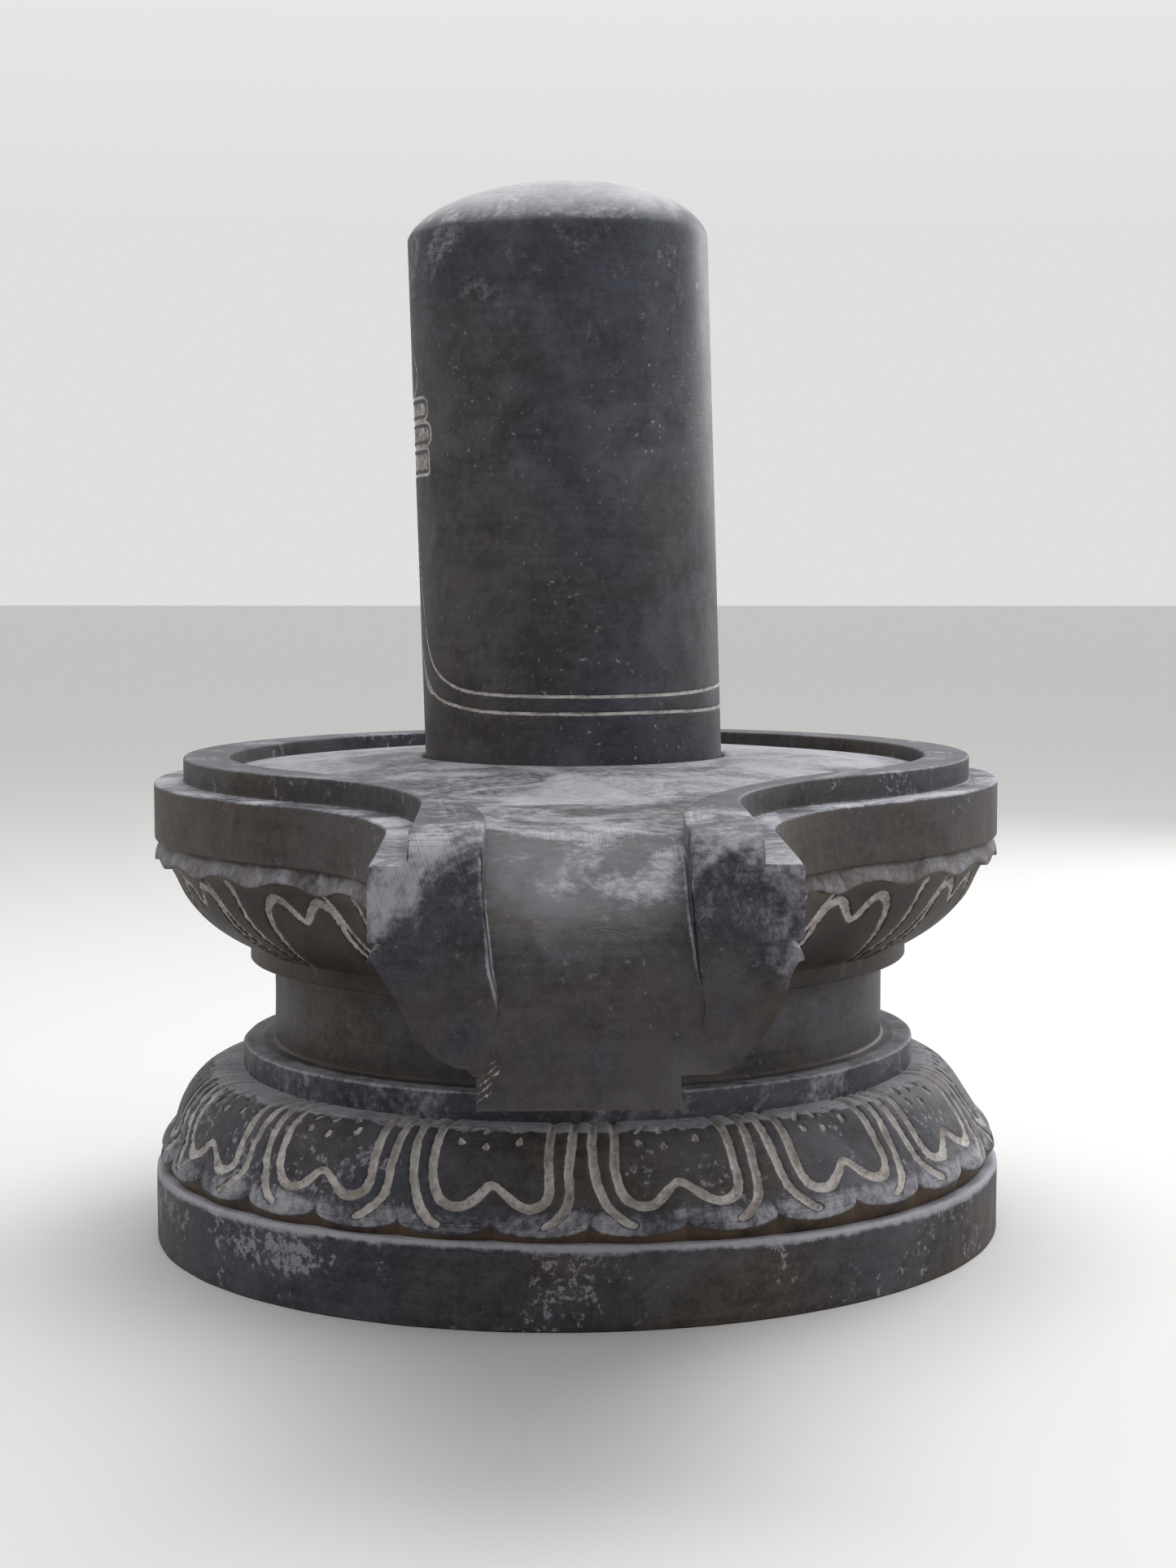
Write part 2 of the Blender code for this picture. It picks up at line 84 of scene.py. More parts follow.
def gridNormals(points, wrap):
    # Cross product of the difference along the columns and the difference along the rows
    if wrap:
        across = np.roll(points, -1, axis=1) - np.roll(points, 1, axis=1)
    else:
        across = np.gradient(points, axis=1)
    normal = np.cross(across, np.gradient(points, axis=0))
    return normal / np.maximum(np.linalg.norm(normal, axis=-1, keepdims=True), tiny)


def addGrid(name, points, material, masks, wrap=False, closeLow=None, closeHigh=None):
    # Quads between neighbouring rows and columns; a closed end is a fan to one middle point
    rows, columns = points.shape[:2]
    index = np.arange(rows * columns).reshape(rows, columns)
    left = index if wrap else index[:, :-1]
    right = np.roll(index, -1, axis=1) if wrap else index[:, 1:]
    quads = np.stack([left[:-1], right[:-1], right[1:], left[1:]], axis=-1).reshape(-1, 4)
    verts = points.reshape(-1, 3)
    fans = []
    for ring, middle, low in ((0, closeLow, True), (-1, closeHigh, False)):
        if middle is None:
            continue
        tip = np.full(left.shape[1], len(verts))
        verts = np.vstack([verts, np.array(middle, float)[None]])
        a, b = (right[ring], left[ring]) if low else (left[ring], right[ring])
        fans.append(np.stack([a, b, tip], axis=-1))
    triangles = np.concatenate(fans) if fans else np.zeros((0, 3), int)
    mesh = bpy.data.meshes.new(name)
    corners = np.concatenate([quads.ravel(), triangles.ravel()])
    starts = np.concatenate([np.arange(len(quads)) * 4, len(quads) * 4 + np.arange(len(triangles)) * 3])
    mesh.vertices.add(len(verts))
    mesh.vertices.foreach_set("co", verts.ravel())
    mesh.loops.add(len(corners))
    mesh.loops.foreach_set("vertex_index", corners)
    mesh.polygons.add(len(starts))
    mesh.polygons.foreach_set("loop_start", starts)
    mesh.update(calc_edges=True)
    for key in maskNames:
        values = np.zeros(len(verts))
        values[: rows * columns] = np.broadcast_to(masks.get(key, 0), (rows, columns)).ravel()
        mesh.attributes.new(key, "FLOAT", "POINT").data.foreach_set("value", values)
    mesh.shade_smooth()
    piece = bpy.data.objects.new(name, mesh)
    bpy.context.collection.objects.link(piece)
    piece.data.materials.append(material)
    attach(piece, "root")
    return piece


def roundedPath(corners, steps=4):
    # Corners are (across, height, rounding); each rounding is a quadratic curve between its two sides
    most = 0.49    # share of a side that one rounding may take
    points = []
    for i, (x, z, rounding) in enumerate(corners):
        here = np.array([x, z])
        if rounding == 0 or i in (0, len(corners) - 1):
            points.append(here)
            continue
        before = np.array(corners[i - 1][:2]) - here
        after = np.array(corners[i + 1][:2]) - here
        start = here + before * min(rounding / np.linalg.norm(before), most)
        end = here + after * min(rounding / np.linalg.norm(after), most)
        for t in np.linspace(0, 1, steps + 1):
            points.append((1 - t) ** 2 * start + 2 * t * (1 - t) * here + t ** 2 * end)
    return np.array(points)


def divided(path, longest):
    # Adds points so that no step of the path is longer than the given length
    parts = [path[:1]]
    for a, b in zip(path[:-1], path[1:]):
        count = max(1, int(math.ceil(np.linalg.norm(b - a) / longest)))
        parts.append(a + (b - a) * (np.arange(1, count + 1) / count)[:, None])
    return np.concatenate(parts)


def lengthAlong(across, height):
    # For each point of a profile, the length of the profile up to it
    return np.concatenate([[0], np.cumsum(np.hypot(np.diff(across), np.diff(height)))])


def smoothLine(points, count):
    # Catmull-Rom curve through the given rows of numbers
    points = np.asarray(points, float)
    padded = np.vstack([2 * points[0] - points[1], points, 2 * points[-1] - points[-2]])
    t = np.linspace(0, len(points) - 1 - 1e-9, count)    # stops just short of the last point
    i = t.astype(int)
    f = (t - i)[:, None]
    a, b, c, d = padded[i], padded[i + 1], padded[i + 2], padded[i + 3]
    return 0.5 * (2 * b + (c - a) * f + (2 * a - 5 * b + 4 * c - d) * f ** 2 + (3 * b - a - 3 * c + d) * f ** 3)


def lineReach(across, along, scale, line):
    # Distance to a polyline of (across, along, half width), as a share of the half width there
    reach = np.full(np.broadcast(across, along).shape, farAway)
    for a, b in zip(line[:-1], line[1:]):
        toX, toY = (across - a[0]) * scale, along - a[1]
        stepX, stepY = (b[0] - a[0]) * scale, b[1] - a[1]
        t = np.clip((toX * stepX + toY * stepY) / (stepX ** 2 + stepY ** 2 + tiny), 0, 1)
        width = a[2] + (b[2] - a[2]) * t
        reach = np.minimum(reach, np.hypot(toX - stepX * t, toY - stepY * t) / width)
    return reach


def linesReach(across, along, scale, lines):
    # The smallest reach to any of several lines
    return np.minimum.reduce([lineReach(across, along, scale, line) for line in lines])


def carvedDepth(points, reach, depth):
    # Grooves with a round bottom inside reach 1, on a surface with slight lumps
    return depth * np.clip(1 - reach ** 2, 0, 1) ** 0.8 + (stoneNoise(points, 0.04, 12) + 1) * 0.0003


def grooveMask(reach):
    # Falls evenly from 1 to 0 across a line's edge
    return np.clip(1.5 - reach, 0, 1)


def turnedPoints(path, columns):
    # Every (radius, height) of the path turned about the vertical axis
    return onCircle(path[:, :1], np.linspace(0, 2 * np.pi, columns, endpoint=False), path[:, 1:])


# Materials: one shader group gives both stones their colour, roughness and fine height

stoneColors = ("Dark", "Warm", "Bloom", "Dust Color", "Cut Color", "Dirt Color")
stoneAmounts = ("Up Dust", "Bloom Amount", "Specks", "Streaks")


def nodeAdder(tree):
    def add(kind, inputs=None, **settings):
        node = tree.nodes.new(kind)
        for key, value in settings.items():
            setattr(node, key, value)
        for key, value in (inputs or {}).items():
            if isinstance(value, bpy.types.NodeSocket):
                tree.links.new(value, node.inputs[key])
            else:
                node.inputs[key].default_value = value
        return node
    return add


def makeStoneGroup():
    tree = bpy.data.node_groups.new("agedStone", "ShaderNodeTree")
    for key in stoneColors:
        tree.interface.new_socket(key, in_out="INPUT", socket_type="NodeSocketColor")
    for key in [key.title() for key in maskNames] + list(stoneAmounts):
        tree.interface.new_socket(key, in_out="INPUT", socket_type="NodeSocketFloat")
    for key, kind in (("Color", "Color"), ("Roughness", "Float"), ("Height", "Float")):
        tree.interface.new_socket(key, in_out="OUTPUT", socket_type="NodeSocket" + kind)
    add = nodeAdder(tree)
    given = add("NodeGroupInput").outputs
    place = add("ShaderNodeTexCoord").outputs["Object"]

    def noise(scale, detail, rough=0.55, stretch=(1, 1, 1), shift=0.0, twist=0.0):
        moved = {"Vector": place, "Scale": stretch, "Location": (shift, shift, shift)}
        looks = {"Vector": add("ShaderNodeMapping", moved).outputs[0], "Scale": scale}
        looks.update({"Detail": detail, "Roughness": rough, "Distortion": twist})
        return add("ShaderNodeTexNoise", looks).outputs[0]

    def between(value, low, high, first=0.0, last=1.0):
        ends = {"Value": value, "From Min": low, "From Max": high, "To Min": first, "To Max": last}
        return add("ShaderNodeMapRange", ends, interpolation_type="SMOOTHSTEP").outputs[0]

    def calc(kind, a, b, clamp=False):
        return add("ShaderNodeMath", {0: a, 1: b}, operation=kind, use_clamp=clamp).outputs[0]

    def plus(a, b):
        return calc("ADD", a, b)

    def less(a, b):
        return calc("SUBTRACT", a, b)

    def times(a, b, clamp=False):
        return calc("MULTIPLY", a, b, clamp)

    def mix(share, a, b):
        return add("ShaderNodeMix", {0: share, 6: a, 7: b}, data_type="RGBA").outputs[2]

    # Patterns of the stone, from large clouds down to its grain
    cloud = between(noise(5.0, 6, 0.62), 0.36, 0.66)
    tint = between(noise(2.6, 4, 0.6, shift=3.7), 0.38, 0.62)
    patch = noise(11.0, 9, 0.68, shift=1.3, twist=0.5)
    mottle = noise(42.0, 6, 0.7, shift=3.1, twist=0.4)
    fine = noise(150.0, 5, 0.7)
    grain = noise(620.0, 3, 0.6)
    upright = noise(1.0, 6, 0.7, (48, 48, 5), 5.1)
    level = noise(1.0, 5, 0.7, (9, 9, 130), 2.2)
    # Rubbing marks that run along lines of one Lay value
    marks = {"W": times(given["Lay"], 900.0), "Scale": 1.0, "Detail": 4, "Roughness": 0.7}
    arcs = add("ShaderNodeTexNoise", marks, noise_dimensions="1D").outputs[0]
    arcs = times(between(arcs, 0.35, 0.7), between(noise(14.0, 4, 0.6, shift=8.0), 0.42, 0.6))
    # Less brown where dust lies
    tint = times(tint, between(given["Dust"], 0.15, 0.45, 1.0, 0.15))
    color = mix(tint, given["Dark"], given["Warm"])
    shade = plus(times(fine, 0.5), times(grain, 0.25))
    shade = plus(plus(shade, times(level, 0.3)), times(mottle, 0.5))
    shade = plus(between(shade, 0.62, 0.94, 0.55, 1.5), times(arcs, 0.4))
    color = add("ShaderNodeVectorMath", {0: color, "Scale": shade}, operation="SCALE").outputs[0]
    bloom = times(times(cloud, between(patch, 0.4, 0.68)), given["Bloom Amount"])
    color = mix(bloom, color, given["Bloom"])
    streak = times(between(upright, 0.56, 0.72), between(noise(7.0, 3, 0.5, shift=6.0), 0.46, 0.62))
    color = mix(times(streak, given["Streaks"]), color, given["Bloom"])
    # Two sizes of small pale knocks
    small = between(noise(230.0, 2, 0.5, shift=4.0), 0.67, 0.74)
    large = between(noise(80.0, 4, 0.65, shift=9.0), 0.68, 0.74)
    speck = times(calc("MAXIMUM", small, large), between(noise(6.0, 3, 0.5, shift=1.9), 0.42, 0.6))
    color = mix(times(speck, given["Specks"]), color, given["Cut Color"])
    facing = add("ShaderNodeSeparateXYZ", {0: add("ShaderNodeNewGeometry").outputs["Normal"]}).outputs[2]
    up = between(plus(facing, times(less(patch, 0.5), 0.9)), 0.35, 1.05)
    up = times(up, given["Up Dust"])
    # Painted shade: faces that look down are mixed towards a dark brown, more the further they turn to the ground
    color = mix(between(facing, -0.02, -0.65, 0.0, 0.85), color, (0.015, 0.01, 0.008, 1))
    # Dust covers more of a cloudy, flaky pattern the more of it there is
    swirl = between(noise(9.0, 8, 0.66, (1.0, 1.0, 0.75), 4.4, 1.6), 0.33, 0.67)
    cover = plus(plus(times(swirl, 0.6), times(between(fine, 0.32, 0.68), 0.28)), times(arcs, 0.12))
    bare = less(0.92, times(given["Dust"], 1.2))
    laid = times(between(cover, bare, plus(bare, 0.78)), between(given["Dust"], 0.0, 0.25))
    # Flakes are the same pattern with hard edges
    crumbs = plus(times(swirl, 0.45), times(between(fine, 0.3, 0.7), 0.55))
    loose = less(1.0, times(given["Flake"], 0.85))
    flaked = times(between(crumbs, loose, plus(loose, 0.13)), between(given["Flake"], 0.0, 0.2, 0.0, 0.62))
    dust = calc("MAXIMUM", up, calc("MAXIMUM", laid, flaked))
    rubbed = between(plus(times(fine, 0.6), times(arcs, 0.4)), 0.1, 0.55, 0.62, 1.0)
    dust = times(dust, rubbed, True)
    color = mix(dust, color, given["Dust Color"])
    grime = times(given["Dirt"], between(noise(34.0, 6, 0.7, shift=7.0), 0.3, 0.58), True)
    color = mix(grime, color, given["Dirt Color"])
    cutTone = between(noise(48.0, 5, 0.7, shift=2.0), 0.38, 0.66)
    cutTone = mix(0.45, mix(cutTone, given["Cut Color"], given["Dirt Color"]), given["Cut Color"])
    # The groove mask is cut off at its middle, and the fine pattern frays the edge
    groove = between(plus(given["Groove"], times(less(fine, 0.5), 0.5)), 0.4, 0.6)
    cut = times(groove, between(noise(180.0, 4, 0.7, shift=5.0), 0.26, 0.54, 0.42, 1.0), True)
    color = mix(cut, color, cutTone)
    rough = plus(plus(0.5, times(cloud, 0.12)), times(calc("MAXIMUM", dust, cut), 0.28))
    height = plus(plus(times(fine, 0.5), times(grain, 0.35)), times(plus(level, arcs), 0.25))
    height = less(height, times(speck, 0.3))
    height = plus(height, times(times(groove, noise(330.0, 4, 0.7)), 1.6))
    add("NodeGroupOutput", {"Color": color, "Roughness": rough, "Height": height})
    return tree


stoneGroup = makeStoneGroup()


def addStone(name, s):
    mat = bpy.data.materials.new(name)
    mat.use_nodes = True
    tree = mat.node_tree
    add = nodeAdder(tree)
    values = {key: (*s[key], 1) for key in stoneColors}
    values.update({key: s[key] for key in stoneAmounts})
    for key in maskNames:
        values[key.title()] = add("ShaderNodeAttribute", attribute_name=key).outputs["Fac"]
    stone = add("ShaderNodeGroup", values, node_tree=stoneGroup).outputs
    bump = add("ShaderNodeBump", {"Height": stone["Height"], "Strength": s["bump"], "Distance": s["bumpHeight"]})
    shader = tree.nodes["Principled BSDF"]
    shader.inputs["Specular IOR Level"].default_value = s["specular"]
    tree.links.new(stone["Color"], shader.inputs["Base Color"])
    tree.links.new(stone["Roughness"], shader.inputs["Roughness"])
    tree.links.new(bump.outputs[0], shader.inputs["Normal"])
    return mat


shaftStone = addStone("shaftStone", {
    "Dark": (0.0205, 0.0225, 0.032), "Warm": (0.033, 0.028, 0.026), "Bloom": (0.088, 0.088, 0.104),
    "Dust Color": (0.3, 0.3, 0.31), "Cut Color": (0.46, 0.44, 0.43), "Dirt Color": (0.1, 0.068, 0.046),
    "Up Dust": 0.95, "Bloom Amount": 0.9, "Specks": 0.3, "Streaks": 0.6,
    "bump": 0.3, "bumpHeight": 0.0012, "specular": 0.28,
})
pedestalStone = addStone("pedestalStone", {
    "Dark": (0.026, 0.0268, 0.035), "Warm": (0.039, 0.031, 0.026), "Bloom": (0.07, 0.069, 0.079),
    "Dust Color": (0.258, 0.258, 0.282), "Cut Color": (0.42, 0.39, 0.37), "Dirt Color": (0.072, 0.048, 0.032),
    "Up Dust": 0.06, "Bloom Amount": 0.9, "Specks": 0.14, "Streaks": 0.25,
    "bump": 0.42, "bumpHeight": 0.0012, "specular": 0.18,
})


def addPedestal(name, points, masks, wrap=False, closeLow=None, closeHigh=None):
    # A grid that shows part of the pedestal's solid
    piece = addGrid(name, points, pedestalStone, masks, wrap, closeLow, closeHigh)
    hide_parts("yoni_pedestal")


# Base plate

basePlate = {
    "radius": 0.371, "height": 0.06, "edge": 0.004, "footEdge": 0.0015, "coreRadius": 0.02, "topRadius": 0.33,
    "columns": 420, "step": 0.006, "lumps": 0.0006, "lumpSize": 0.05,
    # The plate is thicker at the front and the left: degrees from the front, spread and extra height
    "lifts": [(-12, 38, 0.008), (-75, 40, 0.0032)],
    # Pale rubbed patches: degrees from the front, spread, height, spread of height and strength
    "patches": [(-40, 20, 0.043, 0.026, 0.66), (-70, 28, 0.04, 0.03, 0.58)], "leastFlakes": 0.27,
}


def addBasePlate(s):
    corners = [
        (s["coreRadius"], 0.0, 0), (s["radius"], 0.0, s["footEdge"]),
        (s["radius"], s["height"], s["edge"]), (s["topRadius"], s["height"], 0),
    ]
    points = turnedPoints(divided(roundedPath(corners), s["step"]), s["columns"])
    lumps = (stoneNoise(points, s["lumpSize"], 3) + 1) / 2 * s["lumps"]
    x, y, z = np.moveaxis(points, -1, 0)    # views, so a change to them moves the points
    points[..., :2] *= (1 - lumps / np.hypot(x, y))[..., None]    # slight hollows towards the axis
    radius, side = np.hypot(x, y), np.degrees(np.arctan2(x, -y))
    lift = sum(rise * hump((side, middle, spread)) for middle, spread, rise in s["lifts"])
    z += lift * smoothStep(z, 0.02, 0.055)
    below = s["height"] + lift - z
    # Earth on the top face, a worn pale edge, and rubbed patches mostly on the left of the front
    dirt = fallStep(below, 0.0005, 0.005) * fallStep(radius, 0.3585, 0.3615)
    edge = fallStep(below, 0.003, 0.0055) * smoothStep(radius, 0.3575, 0.3605)
    patch = np.maximum(s["leastFlakes"], 0.44 * smoothStep(z, 0.036, 0.057) * smoothStep(-side, -60, 30))
    for turn, spread, height, tall, strength in s["patches"]:
        patch = np.maximum(patch, strength * hump((side, turn, spread), (z, height, tall)))
    dust = np.maximum(edge * 1.3, 0.25 * patch)
    masks = {"dirt": dirt, "dust": dust, "flake": patch * (below > 0.001), "lay": z}
    addPedestal("base_plate", points, masks, True, (0, 0, 0), (0, 0, s["height"]))


addBasePlate(basePlate)
print("made the base plate")


# Lower lotus

lowerLotus = {
    "petals": 15, "turn": 1.1, "topRadius": 0.3, "bellyRadius": 0.3545, "tipRadius": 0.3685, "rootRadius": 0.3575,
    "top": 0.1465, "belly": 0.098, "tip": 0.0735, "root": 0.058, "shoulderCurve": 0.36, "innerRadius": 0.285,
    "notch": 0.01, "notchInset": 0.55, "notchFade": 1.3, "cusp": 0.985,
    "columns": 64, "rows": 78, "underRows": 8, "curveSteps": 40, "depth": 0.0032, "offCentre": 0.004,
    # Lines as rows of (share of half a petal, height, half width)
    "inner": [
        (0.64, 0.15, 0.0034), (0.645, 0.133, 0.0036), (0.645, 0.118, 0.0037), (0.625, 0.106, 0.0038),
        (0.57, 0.0985, 0.004), (0.48, 0.095, 0.0041), (0.385, 0.094, 0.0041), (0.29, 0.0955, 0.004),
        (0.2, 0.0992, 0.0038), (0.12, 0.104, 0.0035), (0.05, 0.108, 0.0032), (0.0, 0.1092, 0.0031),
    ],
    "outer": [
        (0.9, 0.15, 0.0034), (0.885, 0.133, 0.0036), (0.865, 0.118, 0.0036), (0.845, 0.106, 0.0036),
        (0.78, 0.094, 0.0038), (0.65, 0.085, 0.0034), (0.555, 0.0812, 0.0028),
    ],
    # Share, height, half width, length and sideways lean of the drops between the lines
    "drops": [
        (-0.36, 0.1368, 0.0029, 0.003, -0.02), (-0.08, 0.1342, 0.0029, 0.003, 0.0),
        (0.29, 0.1372, 0.0028, 0.005, 0.01), (-0.38, 0.1432, 0.0022, 0.009, 0.1),
        (-0.11, 0.143, 0.0026, 0.006, 0.03), (0.2, 0.1438, 0.0026, 0.007, -0.06),
    ],
}


def lowerRadius(z, s):
    # Above the belly a power curve out from the top edge, below it a quarter sine out to the tips
    above = np.clip((s["top"] - z) / (s["top"] - s["belly"]), 0, 1) ** s["shoulderCurve"]
    below = np.sin(np.clip((s["belly"] - z) / (s["belly"] - s["tip"]), 0, 1) * np.pi / 2)
    return s["topRadius"] + (s["bellyRadius"] - s["topRadius"]) * above + (s["tipRadius"] - s["bellyRadius"]) * below


def addLowerLotus(s):
    pitch = 2 * np.pi / s["petals"]
    turn = np.arange(s["petals"] * s["columns"]) / s["columns"]
    share = 2 * (turn % 1) - 1
    angle = math.radians(s["turn"]) + turn * pitch
    # Equal steps along the profile from the tips to the top edge
    fine = np.linspace(s["tip"], s["top"], 800)
    length = lengthAlong(lowerRadius(fine, s), fine)
    level = np.interp(np.linspace(0, length[-1], s["rows"]), length, fine)[:, None]
    # Two round lobes to each petal, with a cusp between neighbours
    lobe = np.abs(np.abs(share) - 0.5) * 2
    notch = s["notch"] * (1 - np.sqrt(1 - s["cusp"] * lobe ** 2))
    fade = fallStep(level, s["tip"], s["belly"])
    z = level + notch * fade
    radius = lowerRadius(z, s) - notch * s["notchInset"] * fade ** s["notchFade"]
    points = onCircle(radius, angle, z)
    scale = radius * pitch / 2
    # A little wander in the hand-cut lines
    across = share + 0.025 * stoneNoise(points, 0.12, 13)
    along = np.interp(z, fine, length) + 0.0015 * stoneNoise(points, 0.1, 14)
    lines = []
    for line in (s["inner"], s["outer"]):
        for side in (1, -1):
            rows = [(side * a, np.interp(b, fine, length) + max(b - s["top"], 0), w) for a, b, w in line]
            lines.append(smoothLine(rows, s["curveSteps"]))
    for a, b, w, drop, lean in s["drops"]:
        top = np.interp(b, fine, length)
        lines.append([(a + lean, top + drop, w * 0.55), (a, top, w)])
    reach = linesReach(across, along, scale, lines) + 0.1 * stoneNoise(points, 0.014, 11)
    points = points - gridNormals(points, True) * carvedDepth(points, reach, s["depth"])[..., None]
    # Underside of the petals, back to the root
    sink = np.linspace(0, 1, s["underRows"] + 1)[:-1][:, None] * np.pi / 2
    underRadius = radius[0] - (radius[0] - s["rootRadius"]) * np.cos(sink)
    under = onCircle(underRadius, angle, s["root"] + (z[0] - s["root"]) * (1 - np.cos(sink)))
    top = onCircle(s["innerRadius"], angle, s["top"])[None]
    # Rubbed pale line where the petals meet the step, grey petal tips, brown earth underneath
    wavy = z + 0.001 * stoneNoise(points, 0.012, 15)
    line = smoothStep(wavy, s["top"] - 0.004, s["top"] - 0.002)
    tips = fallStep(z, 0.084, 0.101) * smoothStep(reach, 0.9, 1.3)
    points = np.concatenate([under, points, top])
    groove, dirt, dust = np.zeros((3, *points.shape[:2]))
    groove[s["underRows"]:-1] = grooveMask(reach)
    dirt[:s["underRows"]] = 1
    dust[s["underRows"]:-1] = np.maximum(0.75 * tips, line)
    dust[-1] = 1
    # Rubbed flakes, more of them towards the left and the back
    x, _, height = np.moveaxis(points, -1, 0)
    flake = 0.3 + 0.14 * smoothStep(-x, 0.0, 0.3) + 0.12 * fallStep(height, 0.08, 0.1)
    flake[:s["underRows"]] = 0
    x -= s["offCentre"] * smoothStep(height, 0.088, 0.125)    # the carving sits a little off centre
    masks = {"groove": groove, "dirt": dirt, "dust": dust, "flake": flake, "lay": height}
    addPedestal("lower_lotus", points, masks, True, (0, 0, s["root"]), (0, 0, s["top"]))


addLowerLotus(lowerLotus)
print("made the lower lotus")


# Step and neck

stepNeck = {
    "stepRadius": 0.295, "stepTop": 0.169, "neckRadius": 0.2675, "low": 0.14, "high": 0.25, "edge": 0.003,
    "columns": 400, "step": 0.005, "lumps": 0.0004, "lumpSize": 0.06,
}


def addStepNeck(s):
    top, outer, neck = s["stepTop"], s["stepRadius"], s["neckRadius"]
    corners = [(outer, s["low"], 0), (outer, top, s["edge"]), (neck, top, s["edge"]), (neck, s["high"], 0)]
    points = turnedPoints(divided(roundedPath(corners), s["step"]), s["columns"])
    lumps = (stoneNoise(points, s["lumpSize"], 5) + 1) * s["lumps"]
    points = points - gridNormals(points, True) * lumps[..., None]
    x, y, z = np.moveaxis(points, -1, 0)
    radius = np.hypot(x, y)
    # A worn edge and dust on the step, earth in the corner and under the collar. The dust on the step's outer side is
    # partly real dust and partly painted light, lightening a side that lies in shade under the plate
    edge = smoothStep(z, top - 0.004, top - 0.001) * smoothStep(radius, outer - 0.006, outer - 0.003)
    onStep = (z > top - 0.001) * smoothStep(radius, neck + 0.005, neck + 0.012)
    # The 0.45 on the step's outer side is dust and partly painted light
    dust = np.maximum(np.maximum(edge * 0.9, 0.82 * onStep), 0.45 * (z < top - 0.001))
    corner = fallStep(np.abs(radius - neck), 0.001, 0.006) * (z < top + 0.006)
    dirt = 0.5 * smoothStep(z, 0.222, 0.24) + 0.4 * corner
    masks = {"dirt": dirt, "dust": dust, "flake": 0.32 * (z < top + 0.002), "lay": z + radius}
    addPedestal("step_and_neck", points, masks, True, (0, 0, s["low"]), (0, 0, s["high"]))


addStepNeck(stepNeck)
print("made the step and neck")


# Plan outlines of the spouted plate and of its basin, and the spout's sideways wander

plan = {"radius": 0.368, "half": 0.137, "reach": 0.703, "fillet": 0.285}
basinPlan = {"radius": 0.3037, "half": 0.065, "reach": 0.703, "fillet": 0.63}
wander = {"foot": -0.001, "top": 0.0055, "waist": 0.006, "belly": 0.0062, "leftLift": 0.005, "low": (0.26215, 0.26255)}
frontGap = 0.0012    # the open ends of the cup and plate stand this far behind the spout's front


def planParts(p):
    # Centre of the hollow fillet, and the lengths of the disc, fillet and straight part of half the outline
    x = p["half"] + p["fillet"]
    y = -math.sqrt((p["radius"] + p["fillet"]) ** 2 - x ** 2)
    turn = math.atan2(x, -y)
    return x, y, turn, p["radius"] * (math.pi - turn), p["fillet"] * (math.pi / 2 - turn), p["reach"] + y


def planPoint(p, distance, inset):
    # Point at a signed distance from the back (+ is the +X side), moved inwards by the inset
    x, y, turn, disc, fillet = planParts(p)[:5]
    far = np.abs(distance)
    onDisc = np.pi - far / p["radius"]
    onFillet = turn + (far - disc) / p["fillet"]
    places = [far <= disc, far <= disc + fillet]
    convex, hollow = p["radius"] - inset, p["fillet"] + inset
    px = np.select(places, [np.sin(onDisc) * convex, x - np.sin(onFillet) * hollow], p["half"] - inset)
    py = np.select(places, [-np.cos(onDisc) * convex, y + np.cos(onFillet) * hollow], y - (far - disc - fillet))
    return np.where(distance < 0, -px, px), py


def skewed(points):
    # The carver's spout stands a little to the right of the middle, its underside and channel in different amounts
    x, y, z = np.moveaxis(points, -1, 0)
    front = smoothStep(-y, 0.655, 0.7)
    aboveFoot = smoothStep(z, *wander["low"])
    aside = smoothStep(-y, 0.37, 0.7) * (wander["foot"] + wander["top"] * smoothStep(z, 0.262, 0.35))
    waist = wander["waist"] * smoothStep(z, 0.265, 0.305) * fallStep(z, 0.31, 0.39) * front
    waist = waist * fallStep(np.abs(x), 0.08, 0.11)
    belly = wander["belly"] * aboveFoot * fallStep(z, 0.3, 0.336) * smoothStep(-y, 0.5, 0.7)
    lift = wander["leftLift"] * smoothStep(-x, 0.0713, 0.077) * aboveFoot * fallStep(z, 0.263, 0.29) * front
    return points + joined(aside + belly + waist, 0.0, lift)


def spoutShare(p, distance):
    # 0 on the disc, 1 on the straight sides of the spout
    disc, fillet = planParts(p)[3:5]
    return smoothStep(np.abs(distance), disc, disc + fillet)


halfLength = sum(planParts(plan)[3:])

# Upper lotus cup and the collar below it

